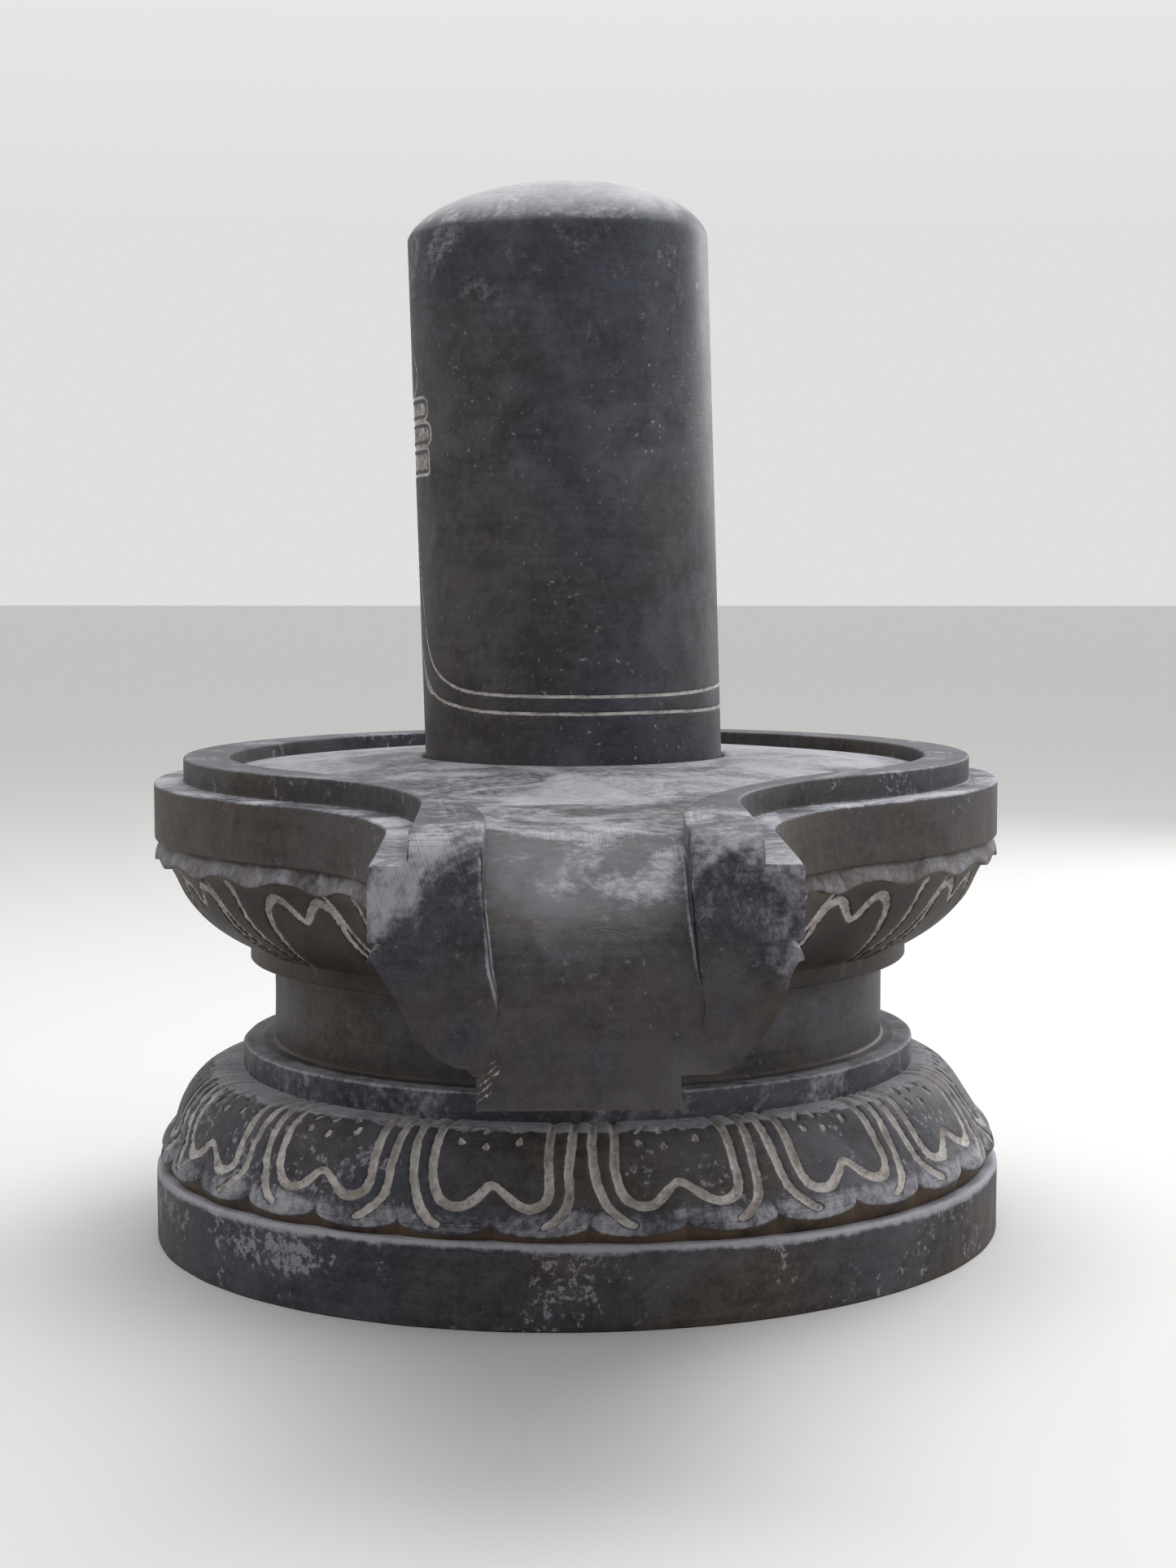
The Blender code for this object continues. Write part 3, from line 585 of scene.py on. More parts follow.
upperCup = {
    "perSide": 8, "columns": 84, "rows": 62, "curveSteps": 44, "depth": 0.0032, "warp": 0.02,
    "foot": 0.2546, "footRise": 0.008, "footInset": 0.078, "spoutFootInset": 0.0485, "cornerRound": 0.01,
    "lip": 0.334, "lipInset": 0.003, "bowlCurve": 2.6, "spoutBowlCurve": 2.1, "bowlShare": 0.8, "lipCurve": 6,
    "notch": 0.006, "notchFade": 0.015, "bandInset": 0.0045, "spoutBandInset": 0.009, "bandTop": 0.3515,
    "collarInset": 0.08, "spoutCollarInset": 0.0725, "collarDeep": 0.022, "collarLow": 0.2405,
    # Lines as rows of (share of half a petal, height, half width)
    "inner": [
        (0.0, 0.3005, 0.0026), (0.08, 0.306, 0.0032), (0.16, 0.3135, 0.0037), (0.24, 0.3185, 0.004),
        (0.33, 0.3195, 0.0042), (0.42, 0.316, 0.004), (0.49, 0.309, 0.0037), (0.525, 0.3, 0.0034),
        (0.54, 0.29, 0.0032), (0.57, 0.28, 0.003), (0.62, 0.27, 0.0026), (0.7, 0.26, 0.0022),
        (0.76, 0.2546, 0.0018),
    ],
    # On the petal's front side a thin pointed line, on its back side one that starts in a round knob
    "thin": [
        (0.4, 0.3285, 0.001), (0.44, 0.3245, 0.0022), (0.51, 0.3165, 0.0027), (0.6, 0.304, 0.0028),
        (0.69, 0.29, 0.0027), (0.77, 0.274, 0.0024), (0.83, 0.258, 0.002),
    ],
    "knob": [
        (-1.03, 0.3265, 0.0047), (-1.025, 0.3215, 0.0034), (-1.01, 0.313, 0.0029), (-0.975, 0.299, 0.003),
        (-0.92, 0.281, 0.0027), (-0.86, 0.266, 0.0023), (-0.82, 0.2546, 0.002),
    ],
}
spoutFoot = upperCup["foot"] + upperCup["footRise"]


def cupInset(z, spout, s):
    # A bowl that flares out at its lip, fuller along the spout
    foot = s["foot"] + s["footRise"] * spout
    v = np.clip((z - foot) / (s["lip"] - foot), 0, 1)
    curve = s["bowlCurve"] + (s["spoutBowlCurve"] - s["bowlCurve"]) * spout
    bowl = s["bowlShare"] * (1 - (1 - v) ** curve) + (1 - s["bowlShare"]) * v ** s["lipCurve"]
    footInset = s["footInset"] + (s["spoutFootInset"] - s["footInset"]) * spout
    corner = 1 - np.clip((z - foot) / s["cornerRound"], 0, 1)
    rounding = 0.9 * s["cornerRound"] * spout * (1 - np.sqrt(1 - corner ** 2))
    return footInset + (s["lipInset"] - footInset) * bowl + rounding


def addUpperCup(s):
    pitch = halfLength / s["perSide"]
    place = np.arange(s["perSide"] * s["columns"] + 1) / s["columns"] * pitch
    distance = np.concatenate([-place[:0:-1], place])[::-1]
    # The petals crowd a little towards the back beside the spout
    petal = (np.abs(distance) + s["warp"] * smoothStep(np.abs(distance), 0.55, 0.92)) / pitch
    share = 2 * (petal % 1) - 1
    spout = spoutShare(plan, distance)
    foot = s["foot"] + s["footRise"] * spout
    # Equal steps along the disc's profile, stretched to each column's own foot and lip
    v = np.linspace(0, 1, 400)
    heights = s["foot"] + v * (s["lip"] - s["foot"])
    length = lengthAlong(cupInset(heights, 0, s), heights)
    level = np.interp(np.linspace(0, length[-1], s["rows"]), length, v)[:, None]
    # The notches fade out at the spout's front, so the cup closes against the cheeks
    notch = s["notch"] * np.abs(np.sin(np.pi * share)) ** 3
    notch = notch * smoothStep(halfLength - np.abs(distance), 0.0, s["notchFade"])
    z = foot + level * (s["lip"] - foot) - notch * smoothStep(level, 0.6, 1.0)
    inset = cupInset(z, spout, s)
    points = joined(*planPoint(plan, distance, inset), z)
    scale = pitch / 2 * (1 - inset / plan["radius"] * (1 - spout))
    # A little wander in the hand-cut lines
    across = share + 0.02 * stoneNoise(points, 0.1, 22)
    along = np.interp((z - foot) / (s["lip"] - foot), v, length) + 0.0012 * stoneNoise(points, 0.09, 23)
    beyond = np.where(across > 0.4, across - 2, across)
    reach = np.full(z.shape, farAway)
    for key, side, where in (("inner", 1, across), ("inner", -1, across), ("thin", 1, across), ("knob", 1, beyond)):
        rows = [(side * a, np.interp(b, heights, length), w) for a, b, w in s[key]]
        reach = np.minimum(reach, lineReach(where, along, scale, smoothLine(rows, s["curveSteps"])))
    reach += 0.1 * stoneNoise(points, 0.014, 21)
    normal = gridNormals(points, False)
    normal[:, [0, -1], 1] = 0    # the ends stay in the front plane
    points = points - normal * carvedDepth(points, reach, s["depth"])[..., None]
    # Collar below the petals, as rings of (inset, height)
    low = s["collarLow"]
    collar = s["collarInset"] + (s["spoutCollarInset"] - s["collarInset"]) * spout
    rings = ((collar + s["collarDeep"], low), (collar + 0.001, low), (collar, low + 0.001), (collar, foot - 0.0005))
    lows = np.array([joined(*planPoint(plan, distance, inset), height) for inset, height in rings])
    # Above them a band that stands out over their scalloped tops and draws in below the plate,
    # as rings of (inset, share of the way up)
    lip, edge = s["lipInset"], z[-1]
    band = s["bandInset"] + (s["spoutBandInset"] - s["bandInset"]) * smoothStep(spout, 0.5, 1.0)
    rings = (
        (lip - 0.0026, 0.02), (lip - 0.0032, 0.1), (lip - 0.0024, 0.25), (0.0022, 0.45), (band, 0.6), (band, 1.0),
    )
    highs = np.array([
        joined(*planPoint(plan, distance, inset), edge + way * (s["bandTop"] - edge)) for inset, way in rings
    ])
    points = np.concatenate([lows, points, highs])
    petals = slice(len(lows), -len(highs))
    groove, dirt, dust = np.zeros((3, *points.shape[:2]))
    groove[petals] = grooveMask(reach)
    # Brown earth under the plate and at the foot of the petals, grey rubbed stone on the band
    dirt[-len(highs):] = 0.45
    dirt[-1] = 1
    height = points[..., 2]
    dirt = np.maximum(dirt, 0.55 * fallStep(np.abs(height - foot - 0.002), 0.001, 0.006))
    shade = 0.45 * smoothStep(-stoneNoise(points[petals], 0.12, 24), -0.4, 0.8) + 0.5 * smoothStep(level, 0.86, 0.97)
    dirt[petals] = np.maximum(dirt[petals], shade)
    dust[-len(highs):-1] = 0.79
    points[:, [0, -1], 1] += frontGap
    addPedestal("upper_cup", skewed(points), {"groove": groove, "dirt": dirt, "dust": dust, "lay": height})


addUpperCup(upperCup)
print("made the upper cup")


# Plate with its raised rim

plateRim = {
    "bottom": 0.3473, "top": 0.3953, "underInset": 0.03, "edge": 0.0022, "cornerEdge": 0.002,
    "rimInset": 0.0249, "rimTop": 0.416, "rimLedge": 0.008, "topRows": 6, "wallLow": 0.292,
    "roundLength": 0.024, "roundHeight": 0.03, "columns": 760, "step": 0.004,
}


def rimLimit(y, z, s):
    # Squeezes heights above the rounding's foot under a quarter ellipse at the spout's front
    back = -plan["reach"] + s["roundLength"]
    low = s["rimTop"] - s["roundHeight"]
    share = np.sqrt(np.maximum(1 - np.clip((back - y) / s["roundLength"], 0, 1) ** 2, 0.0004))
    return np.where(z > low, low + (z - low) * share, z)


def innerDistance(distance):
    # Place on the basin's outline that lies opposite a place on the plate's outline
    y, _, disc, fillet, straight = planParts(plan)[1:]
    yi, turnIn, discIn, filletIn, straightIn = planParts(basinPlan)[1:]
    aimed = plan["radius"] * (math.pi - turnIn)
    opposite = discIn + basinPlan["fillet"] * (math.acos((y - yi) / basinPlan["fillet"]) - turnIn)
    stops = [0, aimed, disc + fillet, disc + fillet + straight]
    stopsIn = [0, discIn, opposite, discIn + filletIn + straightIn]
    return np.sign(distance) * np.interp(np.abs(distance), stops, stopsIn)


def ringsOf(outline, distance, corners, step):
    # One row of points along the outline for each (inset, height) of a rounded path
    path = divided(roundedPath(corners), step)
    return np.array([joined(*planPoint(outline, distance, inset), z) for inset, z in path])


def addPlateRim(s):
    distance = np.linspace(halfLength, -halfLength, s["columns"])
    top, rimTop, wall, edge = s["top"], s["rimTop"], s["rimInset"], s["edge"]
    outside = ringsOf(plan, distance, [
        (s["underInset"], s["bottom"], 0), (0.0, s["bottom"], edge), (0.0, top, edge),
        (wall, top, s["cornerEdge"]), (wall, rimTop, edge), (wall + s["rimLedge"], rimTop, 0),
    ], s["step"])
    inside = ringsOf(basinPlan, innerDistance(distance), [
        (-s["rimLedge"], rimTop, 0), (0.0, rimTop, edge), (0.0, s["wallLow"], 0),
    ], s["step"])
    across = np.linspace(0, 1, s["topRows"] + 2)[1:-1][:, None, None]
    points = np.concatenate([outside, outside[-1] + (inside[0] - outside[-1]) * across, inside])
    _, y, z = np.moveaxis(points, -1, 0)
    z[:] = rimLimit(y, z, s)
    y[:, [0, -1]] += frontGap
    row = np.arange(len(points))[:, None]
    outset = np.concatenate([np.zeros(len(outside)), np.linspace(0, 0.04, len(points) - len(outside))])[:, None]
    # The rim's top and edges are rubbed pale; earth gathers under the plate's lower edge
    spoutTop = smoothStep(-y, 0.4, 0.6) * smoothStep(z, 0.385, 0.41)
    dust = np.maximum(0.42 * smoothStep(z, rimTop - 0.002, rimTop - 0.0005), 0.58 * spoutTop)
    dust = np.maximum(dust, 0.7 * smoothStep(z, top - 0.0025, top - 0.0008) * (z < top + 0.001))
    dirt = 0.9 * fallStep(z, s["bottom"] - 0.001, s["bottom"] + 0.0025) + 0.25 * (z < top - 0.002)
    masks = {"dust": dust, "dirt": dirt * (row < len(outside)), "flake": 0.26, "lay": z + outset}
    addPedestal("plate_rim", skewed(points), masks)


addPlateRim(plateRim)
print("made the plate and rim")


# Basin floor, pour and socket

basin = {
    "floorEdge": 0.403, "floorRise": 0.011, "shaftRadius": 0.13, "seam": -0.5, "outset": 0.001,
    "rows": 60, "columns": 420, "frontColumns": 42, "wallRows": 11, "lip": 0.0015,
    "pourLength": 0.166, "pourDrop": 0.094, "pourSetback": 0.003, "channelEnd": 0.305,
    "pourColumns": 130, "pourStep": 0.0018, "bendSteps": 36, "roundings": 80, "scratchDepth": 0.0007,
    "socketRadius": 0.133, "socketFloor": 0.334, "lean": -1.56, "offset": -0.0025,
    # Place, rise and sideways run of the chisel marks
    "scratches": [
        (-0.064, 0.246, 0.0065, 0.008), (-0.0638, 0.251, 0.007, 0.0085), (-0.0636, 0.256, 0.006, 0.008),
        (-0.0634, 0.26, 0.0065, 0.007), (-0.063, 0.2645, 0.006, 0.0065), (-0.0635, 0.269, 0.005, 0.005),
        (-0.061, 0.248, 0.005, 0.0065), (-0.0605, 0.2535, 0.0055, 0.006), (-0.06, 0.262, 0.005, 0.0045),
    ],
}


def floorHeight(x, y, s):
    # A low dome round the shaft that levels out at the basin's edge
    share = (basinPlan["radius"] - np.hypot(x, y)) / (basinPlan["radius"] - s["shaftRadius"])
    return s["floorEdge"] + s["floorRise"] * np.sin(np.clip(share, 0, 1) * np.pi / 2)


def channelWidth(y):
    # Half width of the channel at a place along the spout
    x, centre = planParts(basinPlan)[:2]
    hollow = x - np.sqrt(np.maximum(basinPlan["fillet"] ** 2 - (y - centre) ** 2, 0))
    return np.where(y > centre, hollow, basinPlan["half"])


def pourPath(s):
    # Floor line of the channel: level, a quarter ellipse down, a slant out to the front face, then the face
    front = -plan["reach"]
    start = front + s["pourSetback"] + s["pourLength"]
    bend = np.linspace(0, np.pi / 2, s["bendSteps"])
    curve = np.stack([start - s["pourLength"] * np.sin(bend), s["floorEdge"] - s["pourDrop"] * (1 - np.cos(bend))], -1)
    path = np.vstack([[[s["seam"], s["floorEdge"]]], curve, [[front, s["channelEnd"]], [front, upperCup["collarLow"]]]])
    path = divided(path, s["pourStep"])
    for _ in range(s["roundings"]):    # rounds the bends where the slant meets the curve and the face
        path[1:-1] = (path[:-2] + 2 * path[1:-1] + path[2:]) / 4
    # Two rows at the cup's foot, where the face narrows to the collar
    at = int(np.argmax(path[:, 1] < spoutFoot))
    return np.insert(path, at, [[front, spoutFoot], [front, spoutFoot - 0.0005]], axis=0)


def addBasinFloor(s):
    # Rings from the socket's edge out to the basin's outline, with the channel as far as the seam
    yi, turnIn, discIn = planParts(basinPlan)[1:4]
    side = discIn + basinPlan["fillet"] * (math.acos((s["seam"] - yi) / basinPlan["fillet"]) - turnIn)
    x, y = planPoint(basinPlan, np.linspace(side, -side, s["columns"]), -s["outset"])
    frontX = np.linspace(x[-1], x[0], s["frontColumns"])[1:-1]
    x = np.concatenate([x, frontX])
    y = np.concatenate([y, np.full(frontX.shape, s["seam"])])
    # Matching places on the socket's circle, in the same direction from its middle
    direction = np.arctan2(x - s["offset"], -y)
    lean = math.radians(s["lean"])
    centreX = s["offset"] + (s["floorEdge"] + s["floorRise"] - s["socketFloor"]) * math.sin(lean)
    ringX = centreX + s["socketRadius"] * np.sin(direction)
    ringY = -s["socketRadius"] * np.cos(direction)
    share = np.linspace(1, 0, s["rows"])[:, None]
    px, py = ringX + (x - ringX) * share, ringY + (y - ringY) * share
    points = joined(px, py, floorHeight(px, py, s) - s["lip"] * fallStep(share, 0, 0.015))
    # The socket's wall leans with the shaft
    depth = np.linspace(0, 1, s["wallRows"] + 1)[1:][:, None]
    top = points[-1]
    bottomX = s["offset"] + s["socketRadius"] * np.sin(direction)
    wallX = top[:, 0] + (bottomX - top[:, 0]) * depth
    wall = joined(wallX, top[:, 1], top[:, 2] + (s["socketFloor"] - top[:, 2]) * depth)
    points = np.concatenate([points, wall])
    x, y, z = np.moveaxis(points, -1, 0)
    # Dust thins out and turns browner towards the spout
    back = smoothStep(y, -0.46, -0.14)
    dust = 0.665 + 0.175 * back + 0.07 * smoothStep(y, -0.1, 0.15) + 0.07 * stoneNoise(points, 0.16, 42)
    dirt = 0.24 - 0.1 * back + 0.4 * fallStep(z, 0.39, 0.402)
    masks = {"dust": dust * smoothStep(z, 0.395, 0.4005), "dirt": dirt, "lay": np.hypot(x, y)}
    addPedestal("basin_floor", skewed(points), masks, True, None, (s["offset"], 0, s["socketFloor"]))


def addPour(s):
    # Channel floor from the seam over the pour and down the front face
    path = pourPath(s)[::-1]
    y, z = path[:, :1], path[:, 1:]
    half = np.where(z > s["channelEnd"], channelWidth(y), basinPlan["half"])
    half = np.where(z > spoutFoot - 0.0002, half, plan["half"] - upperCup["spoutCollarInset"])
    points = joined(np.linspace(-1, 1, s["pourColumns"]) * half, y, z)
    x, y, z = np.moveaxis(points, -1, 0)
    # Dust thins out down the pour; the dust taken off the upper part of its bend is painted shade that darkens the bend
    high = smoothStep(z, 0.394, 0.4025)
    rubbed = smoothStep(z, 0.374, 0.388) * fallStep(z, 0.396, 0.4025)
    dust = 0.53 * smoothStep(z + 0.007 * stoneNoise(points, 0.05, 41), 0.35, 0.377) + 0.13 * high
    # The rubbed term is painted shade on the upper bend
    dust += 0.07 * stoneNoise(points, 0.16, 42) + 0.12 * stoneNoise(points, 0.045, 43) * (1 - high) - 0.08 * rubbed
    # Pale worn edges beside both cheeks
    right = 0.8 * fallStep(half - x, 0.001, 0.0035) * smoothStep(z, 0.285, 0.33) * fallStep(z, 0.385, 0.4)
    left = fallStep(half + x, 0.0005, 0.003) * smoothStep(z, 0.292, 0.325) * fallStep(z, 0.37, 0.39)
    dust = np.maximum(dust, 0.85 * np.maximum(right, left))
    # Chisel marks at the upper left corner of the collar, as lines of (across, height, half width)
    reach = linesReach(x, z, 1.0, [
        [(a, b, 0.0008), (a + run * 0.6, b + rise * 0.55, 0.0011), (a + run, b + rise, 0.0006)]
        for a, b, rise, run in s["scratches"]
    ])
    y += s["scratchDepth"] * np.clip(1 - reach ** 2, 0, 1)
    earth = np.maximum(0.7 * fallStep(z, 0.2405, 0.2445), 0.55 * hump((x, -0.061, 0.006), (z, 0.262, 0.013)))
    dirt = np.maximum(earth, 0.24 * smoothStep(z, 0.39, 0.4025) + 0.26 * fallStep(z, 0.3, 0.35))
    lay = np.where(z < 0.39, np.hypot(x - 0.01, z - 0.315), x)    # arcs on the face, straight marks above
    masks = {"dust": dust, "dirt": dirt, "groove": np.clip(1.4 - reach, 0, 0.51), "lay": lay}
    addPedestal("channel_pour", skewed(points), masks)


addBasinFloor(basin)
addPour(basin)
print("made the basin and pour")


# The spout's cheeks, whose faces keep the plate's side profile

cheeks = {
    "columns": 34, "bowlRows": 70, "bowlSpacing": 1.4, "plateRows": 34, "rimRows": 16,
    # Height above the cup's lip and inset of the band's rows
    "band": [
        (0.0004, 0.0004), (0.0017, -0.0002), (0.0044, 0.0006), (0.0078, 0.0022), (0.0105, 0.009), (0.013, 0.009),
    ],
    # Width and depth of the worn edges beside the channel and along the outside
    "innerWidth": 0.003, "innerDepth": 0.003, "outerWidth": 0.002, "outerDepth": 0.0012, "plateEdge": 0.001,
}


def addCheek(side, s):
    # One row for each height, from the channel's edge to the side profile, under the rounded upper end
    inner, half, lip = basinPlan["half"], plan["half"], upperCup["lip"]
    bowl = spoutFoot + (lip - spoutFoot) * np.linspace(0, 1, s["bowlRows"]) ** s["bowlSpacing"]
    above, inset = np.array(s["band"]).T
    plate = np.linspace(plateRim["bottom"], plateRim["top"], s["plateRows"])
    plateWidth = np.full(plate.shape, half)
    plateWidth[[0, -1]] -= s["plateEdge"]
    rim = plateRim["top"] + (plateRim["rimTop"] - plateRim["top"]) * np.linspace(0.015, 1, s["rimRows"])
    rimWidth = np.full(rim.shape, half - plateRim["rimInset"])
    z = np.concatenate([bowl, lip + above, plate, rim])[:, None]
    width = np.concatenate([half - cupInset(bowl, 1.0, upperCup), half - inset, plateWidth, rimWidth])[:, None]
    x = inner + (width - inner) * np.linspace(0, 1, s["columns"])
    rise = np.clip((z - plateRim["rimTop"] + plateRim["roundHeight"]) / plateRim["roundHeight"], 0, 1)
    y = -plan["reach"] + plateRim["roundLength"] * (1 - np.sqrt(np.maximum(1 - rise ** 2, 0)))
    nearInner = 1 - np.clip((x - inner) / s["innerWidth"], 0, 1)
    nearOuter = 1 - np.clip((width - x) / s["outerWidth"], 0, 1)
    y = y + s["innerDepth"] * (1 - np.sqrt(1 - nearInner ** 2)) * smoothStep(z, basin["channelEnd"], 0.33)
    y = y + s["outerDepth"] * (1 - np.sqrt(1 - nearOuter ** 2))
    points = joined(side * x, y, z)
    if side < 0:
        points = points[:, ::-1]
    x, _, z = np.moveaxis(points, -1, 0)
    # Pale rubbed patches, larger on the left cheek, and a light line beside the channel's lower left
    dust = 0.44 * smoothStep(z + 0.006 * stoneNoise(points, 0.05, 44), 0.335, 0.36)
    dust += 0.14 * smoothStep(z, 0.37, 0.398)
    if side < 0:
        # The left patch follows a slanting line down and outwards from (-0.1, 0.406)
        nearest = np.clip(((x + 0.1) * -0.035 + (z - 0.406) * -0.044) / 0.00316, 0, 1)
        away = np.hypot(x + 0.1 + 0.035 * nearest, z - 0.406 + 0.044 * nearest)
        dust = np.maximum(dust, (1.00 + 0.26 * stoneNoise(points, 0.03, 45)) * hump((away, 0, 0.023)))
        dust = np.maximum(dust, 0.95 * fallStep(np.abs(x + inner), 0.0015, 0.0035) * smoothStep(z, 0.292, 0.325))
    else:
        dust = np.maximum(dust, 0.8 * hump((x, 0.08, 0.014), (z, 0.402, 0.0115)))
        dust = np.maximum(dust, 0.43 * smoothStep(x, 0.085, 0.108) * smoothStep(z, 0.3, 0.33))
    dirt = 0.5 * fallStep(z, spoutFoot, spoutFoot + 0.003) + 0.3 * fallStep(z, 0.3, 0.35)
    name = "cheek_right" if side > 0 else "cheek_left"
    addPedestal(name, skewed(points), {"dust": dust, "dirt": dirt, "lay": x + 0.35 * z})


for side in (1, -1):
    addCheek(side, cheeks)
print("made the cheeks")


# Shaft

shaft = {
    "radius": 0.13, "ridge": 0.863, "top": 0.911, "footEdge": 0.004, "seat": 0.0003, "roundness": 0.009,
    "shift": 0.014, "depth": 0.0009, "lineWidth": 0.0013, "curveSteps": 90,
    "domeRows": 25, "fineColumns": 150, "coarseColumns": 124,
    # Heights above the foot with fine rows, where the lines and bars are
    "fineRows": [(0.072, 0.27), (0.321, 0.45)], "fineStep": 0.0012, "coarseStep": 0.004,
    # Degrees from the -X side and height of the incised lines
    "lines": [
        [(7.0, 0.645), (9.5, 0.6), (12.2, 0.565), (15.2, 0.545), (17.2, 0.528), (19.5, 0.5145), (23.5, 0.501),
         (28, 0.4925), (35, 0.4845), (45, 0.4775), (60, 0.4738), (90, 0.471), (120, 0.4695), (142, 0.4697),
         (160, 0.4715), (180, 0.4735)],
        [(6.0, 0.56), (8.5, 0.524), (11, 0.505), (14.5, 0.4915), (20.5, 0.479), (27, 0.4712), (36, 0.466),
         (48, 0.4615), (60, 0.459), (90, 0.4565), (120, 0.4552), (150, 0.4535), (180, 0.454)],
        [(9.0, 0.512), (11.5, 0.496), (15, 0.484), (19, 0.4765), (23, 0.4735)],
        [(0.0, 0.782), (5.0, 0.775), (10, 0.766), (14.5, 0.757), (17.2, 0.747), (16.5, 0.738), (13, 0.731), (8, 0.727)],
    ],
    # Middle height, half height, half length along the surface and corner rounding of the three bars on the -X side
    "bars": [(0.7165, 0.0108, 0.064, 0.01), (0.695, 0.0112, 0.069, 0.0104), (0.6718, 0.0125, 0.064, 0.006)],
}


def addShaft(s):
    foot = basin["socketFloor"]
    # Columns from the -X side towards the front, closest together round that side
    fine = np.linspace(-40, 40, s["fineColumns"])
    around = np.radians(np.concatenate([fine, np.linspace(40, 320, s["coarseColumns"] + 2)[1:-1]]))
    (lowFrom, lowTo), (highFrom, highTo) = s["fineRows"]
    side = np.concatenate([
        np.linspace(s["footEdge"], lowFrom - 0.002, 10), np.arange(lowFrom, lowTo, s["fineStep"]),
        np.arange(lowTo + 0.002, highFrom - 0.001, s["coarseStep"]), np.arange(highFrom, highTo, s["fineStep"]),
        np.linspace(highTo + 0.002, s["ridge"] - foot, 18),
    ])
    # The dome is part of an ellipse whose middle lies a little below the ridge
    semiHeight = s["top"] - s["ridge"] + s["roundness"]
    semiWidth = s["radius"] / math.sqrt(1 - (s["roundness"] / semiHeight) ** 2)
    bend = np.linspace(math.asin(s["radius"] / semiWidth), 0.006, s["domeRows"] + 1)[1:]
    radius = np.concatenate([[s["radius"] - s["footEdge"]], np.full(side.shape, s["radius"]), semiWidth * np.sin(bend)])
    height = np.concatenate([[0.0], side, s["top"] - foot - semiHeight * (1 - np.cos(bend))])
    shift = np.where(np.arange(len(radius)) > len(side), s["shift"] * (1 - radius / s["radius"]), 0.0)
    radius, z, shift = radius[:, None], height[:, None], shift[:, None]
    points = joined(shift - radius * np.cos(around), -radius * np.sin(around), z)
    # Degrees away from the -X side, the same towards the front and the back
    turn = np.abs((np.degrees(around) + 180) % 360 - 180)
    lines = [[(math.radians(a), b - foot, s["lineWidth"]) for a, b in line] for line in s["lines"]]
    lines = [smoothLine(line, s["curveSteps"]) for line in lines]
    reach = linesReach(np.radians(turn)[None], z, s["radius"], lines)
    # Each bar is a pecked field inside a narrow rim and an incised outline
    pecked = np.zeros(reach.shape)
    for middle, half, length, rounding in s["bars"]:
        outX = np.radians(turn) * s["radius"] - (length - rounding)
        outZ = np.abs(z + foot - middle) - (half - rounding)
        corner = np.hypot(np.maximum(outX, 0), np.maximum(outZ, 0))
        outside = corner + np.minimum(np.maximum(outX, outZ), 0) - rounding
        reach = np.minimum(reach, np.abs(outside + s["lineWidth"]) / s["lineWidth"])
        pecked = np.maximum(pecked, smoothStep(-outside, 0.0046, 0.0056))
    cut = s["depth"] * np.clip(1 - reach ** 2, 0, 1)
    cut = np.maximum(cut, pecked * (0.0006 + 0.0003 * stoneNoise(points, 0.004, 31)))
    points = points - gridNormals(points, True) * cut[..., None]
    lean = math.radians(basin["lean"])
    x, y, z = np.moveaxis(points, -1, 0)
    z += s["seat"]
    leaningX = basin["offset"] + x * math.cos(lean) + z * math.sin(lean)
    points = joined(leaningX, y, foot - x * math.sin(lean) + z * math.cos(lean))
    # Dust on the dome, and a thinner veil on the upper part of the side
    height = points[..., 2]
    veil = 0.34 * smoothStep(height, 0.6, 0.86) * (height < s["ridge"] - 0.002)
    dust = 0.55 * smoothStep(height, s["ridge"] - 0.002, s["ridge"] + 0.006) + veil
    masks = {"groove": np.maximum(grooveMask(reach), 0.53 * pecked), "dust": dust, "lay": height}
    piece = addGrid("shaft", points, shaftStone, masks, True, points[0].mean(axis=0), points[-1].mean(axis=0))
    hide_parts("linga_shaft")


addShaft(shaft)
print("made the shaft")


# Camera, floor and light

cameraSettings = {
    "distance": 2.3754,      # metres in front of the shaft's axis
    "height": 0.588,         # above the floor
    "pitch": 4.83,           # degrees, looking down
    "pan": 3.2,              # degrees, turned to the right
    "roll": -0.07,           # degrees
    "photoHeight": 1927,     # pixels
    "focalPixels": 3306.0,   # focal length in pixels of the photo
    "shiftPixels": 173.9,    # how far the optical axis lies to the right of the picture's middle
    "sensor": 36.0,
}
floorSettings = {"size": 60, "color": (0.44, 0.437, 0.43), "roughness": 0.9}
studio = {
    # Height of the sky's horizon and zenith, and its strength there
    "skyFrom": 0.12, "skyTo": 0.95, "skyLow": 0.74, "skyHigh": 1.35,
    # name, place, aimed at, size, watts
    "lamps": [
        ("topSoft", (0.3, 0.5, 3.1), (0, 0, 0.4), 2.2, 98),
        ("sideRight", (3.0, -0.5, 1.2), (0, 0, 0.3), 1.6, 20),
        ("backRight", (2.0, 2.5, 1.5), (0, 0, 0.6), 1.4, 44),
    ],
}


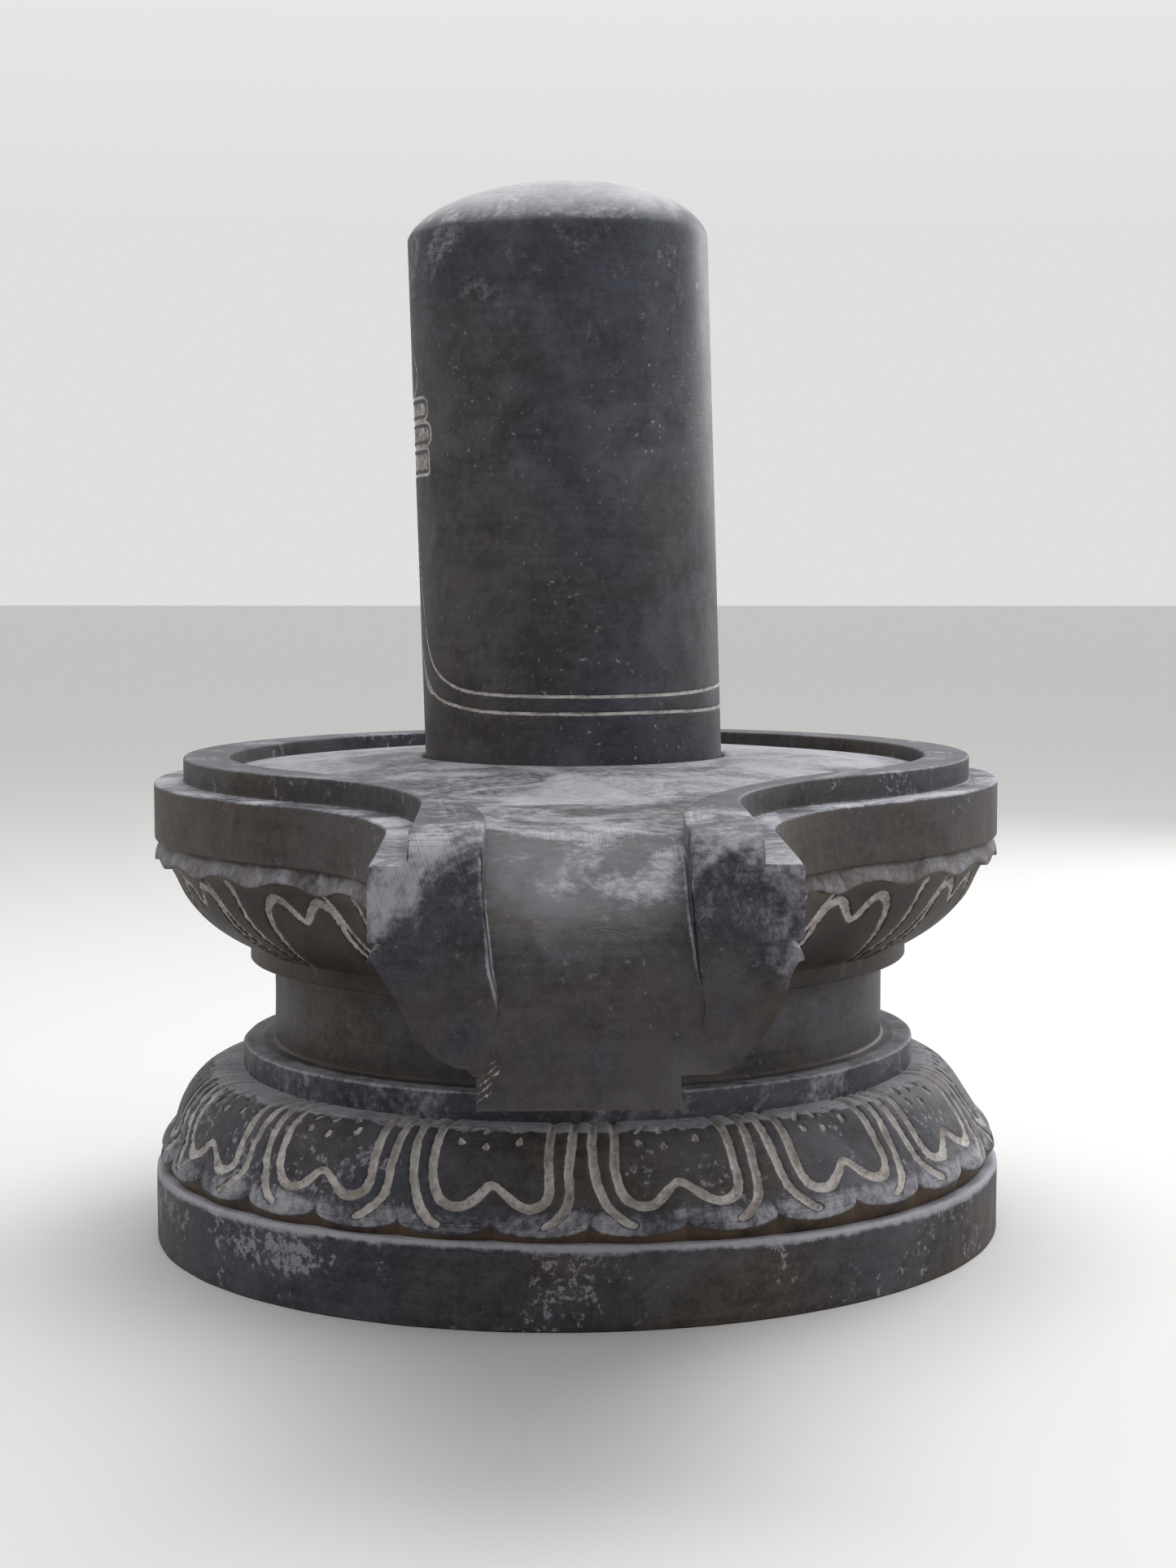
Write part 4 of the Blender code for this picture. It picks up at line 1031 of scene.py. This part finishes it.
def addCamera(s):
    # A level camera turned by pitch, pan and roll, with a lens given by its focal length in pixels
    data = bpy.data.cameras.new("photoCamera")
    data.sensor_fit = "VERTICAL"
    data.sensor_height = s["sensor"]
    data.lens = s["focalPixels"] / s["photoHeight"] * s["sensor"]
    data.shift_x = -s["shiftPixels"] / s["photoHeight"]
    data.clip_end = 60
    camera = bpy.data.objects.new("photoCamera", data)
    camera.rotation_mode = "XYZ"
    camera.location = (0, -s["distance"], s["height"])
    camera.rotation_euler = (math.radians(90 - s["pitch"]), math.radians(s["roll"]), -math.radians(s["pan"]))
    bpy.context.collection.objects.link(camera)
    bpy.context.scene.camera = camera


def addFloor(s):
    bpy.ops.mesh.primitive_plane_add(size=s["size"], location=(0, 0, 0))
    floor = bpy.context.object
    floor.name = "floor"
    mat = bpy.data.materials.new("floorPale")
    mat.use_nodes = True
    shader = mat.node_tree.nodes["Principled BSDF"]
    shader.inputs["Base Color"].default_value = (*s["color"], 1)
    shader.inputs["Roughness"].default_value = s["roughness"]
    floor.data.materials.append(mat)


def addLights(s):
    # A soft sky that is brighter overhead than at the horizon
    world = bpy.data.worlds.new("softStudio")
    world.use_nodes = True
    add = nodeAdder(world.node_tree)
    height = add("ShaderNodeSeparateXYZ", {0: add("ShaderNodeTexCoord").outputs["Generated"]}).outputs[2]
    ends = {"From Min": s["skyFrom"], "From Max": s["skyTo"], "To Min": s["skyLow"], "To Max": s["skyHigh"]}
    strength = add("ShaderNodeMapRange", {"Value": height, **ends}).outputs[0]
    sky = world.node_tree.nodes["Background"]
    sky.inputs["Color"].default_value = (1.0, 1.0, 1.0, 1)
    world.node_tree.links.new(strength, sky.inputs["Strength"])
    bpy.context.scene.world = world
    bpy.context.scene.view_settings.view_transform = "Standard"
    for name, place, aim, size, watts in s["lamps"]:
        data = bpy.data.lights.new(name, "AREA")
        data.size = size
        data.energy = watts
        lamp = bpy.data.objects.new(name, data)
        lamp.location = place
        lamp.rotation_euler = (Vector(aim) - Vector(place)).to_track_quat("-Z", "Y").to_euler()
        bpy.context.collection.objects.link(lamp)


addCamera(cameraSettings)
addFloor(floorSettings)
addLights(studio)
print("set the camera, floor and light")
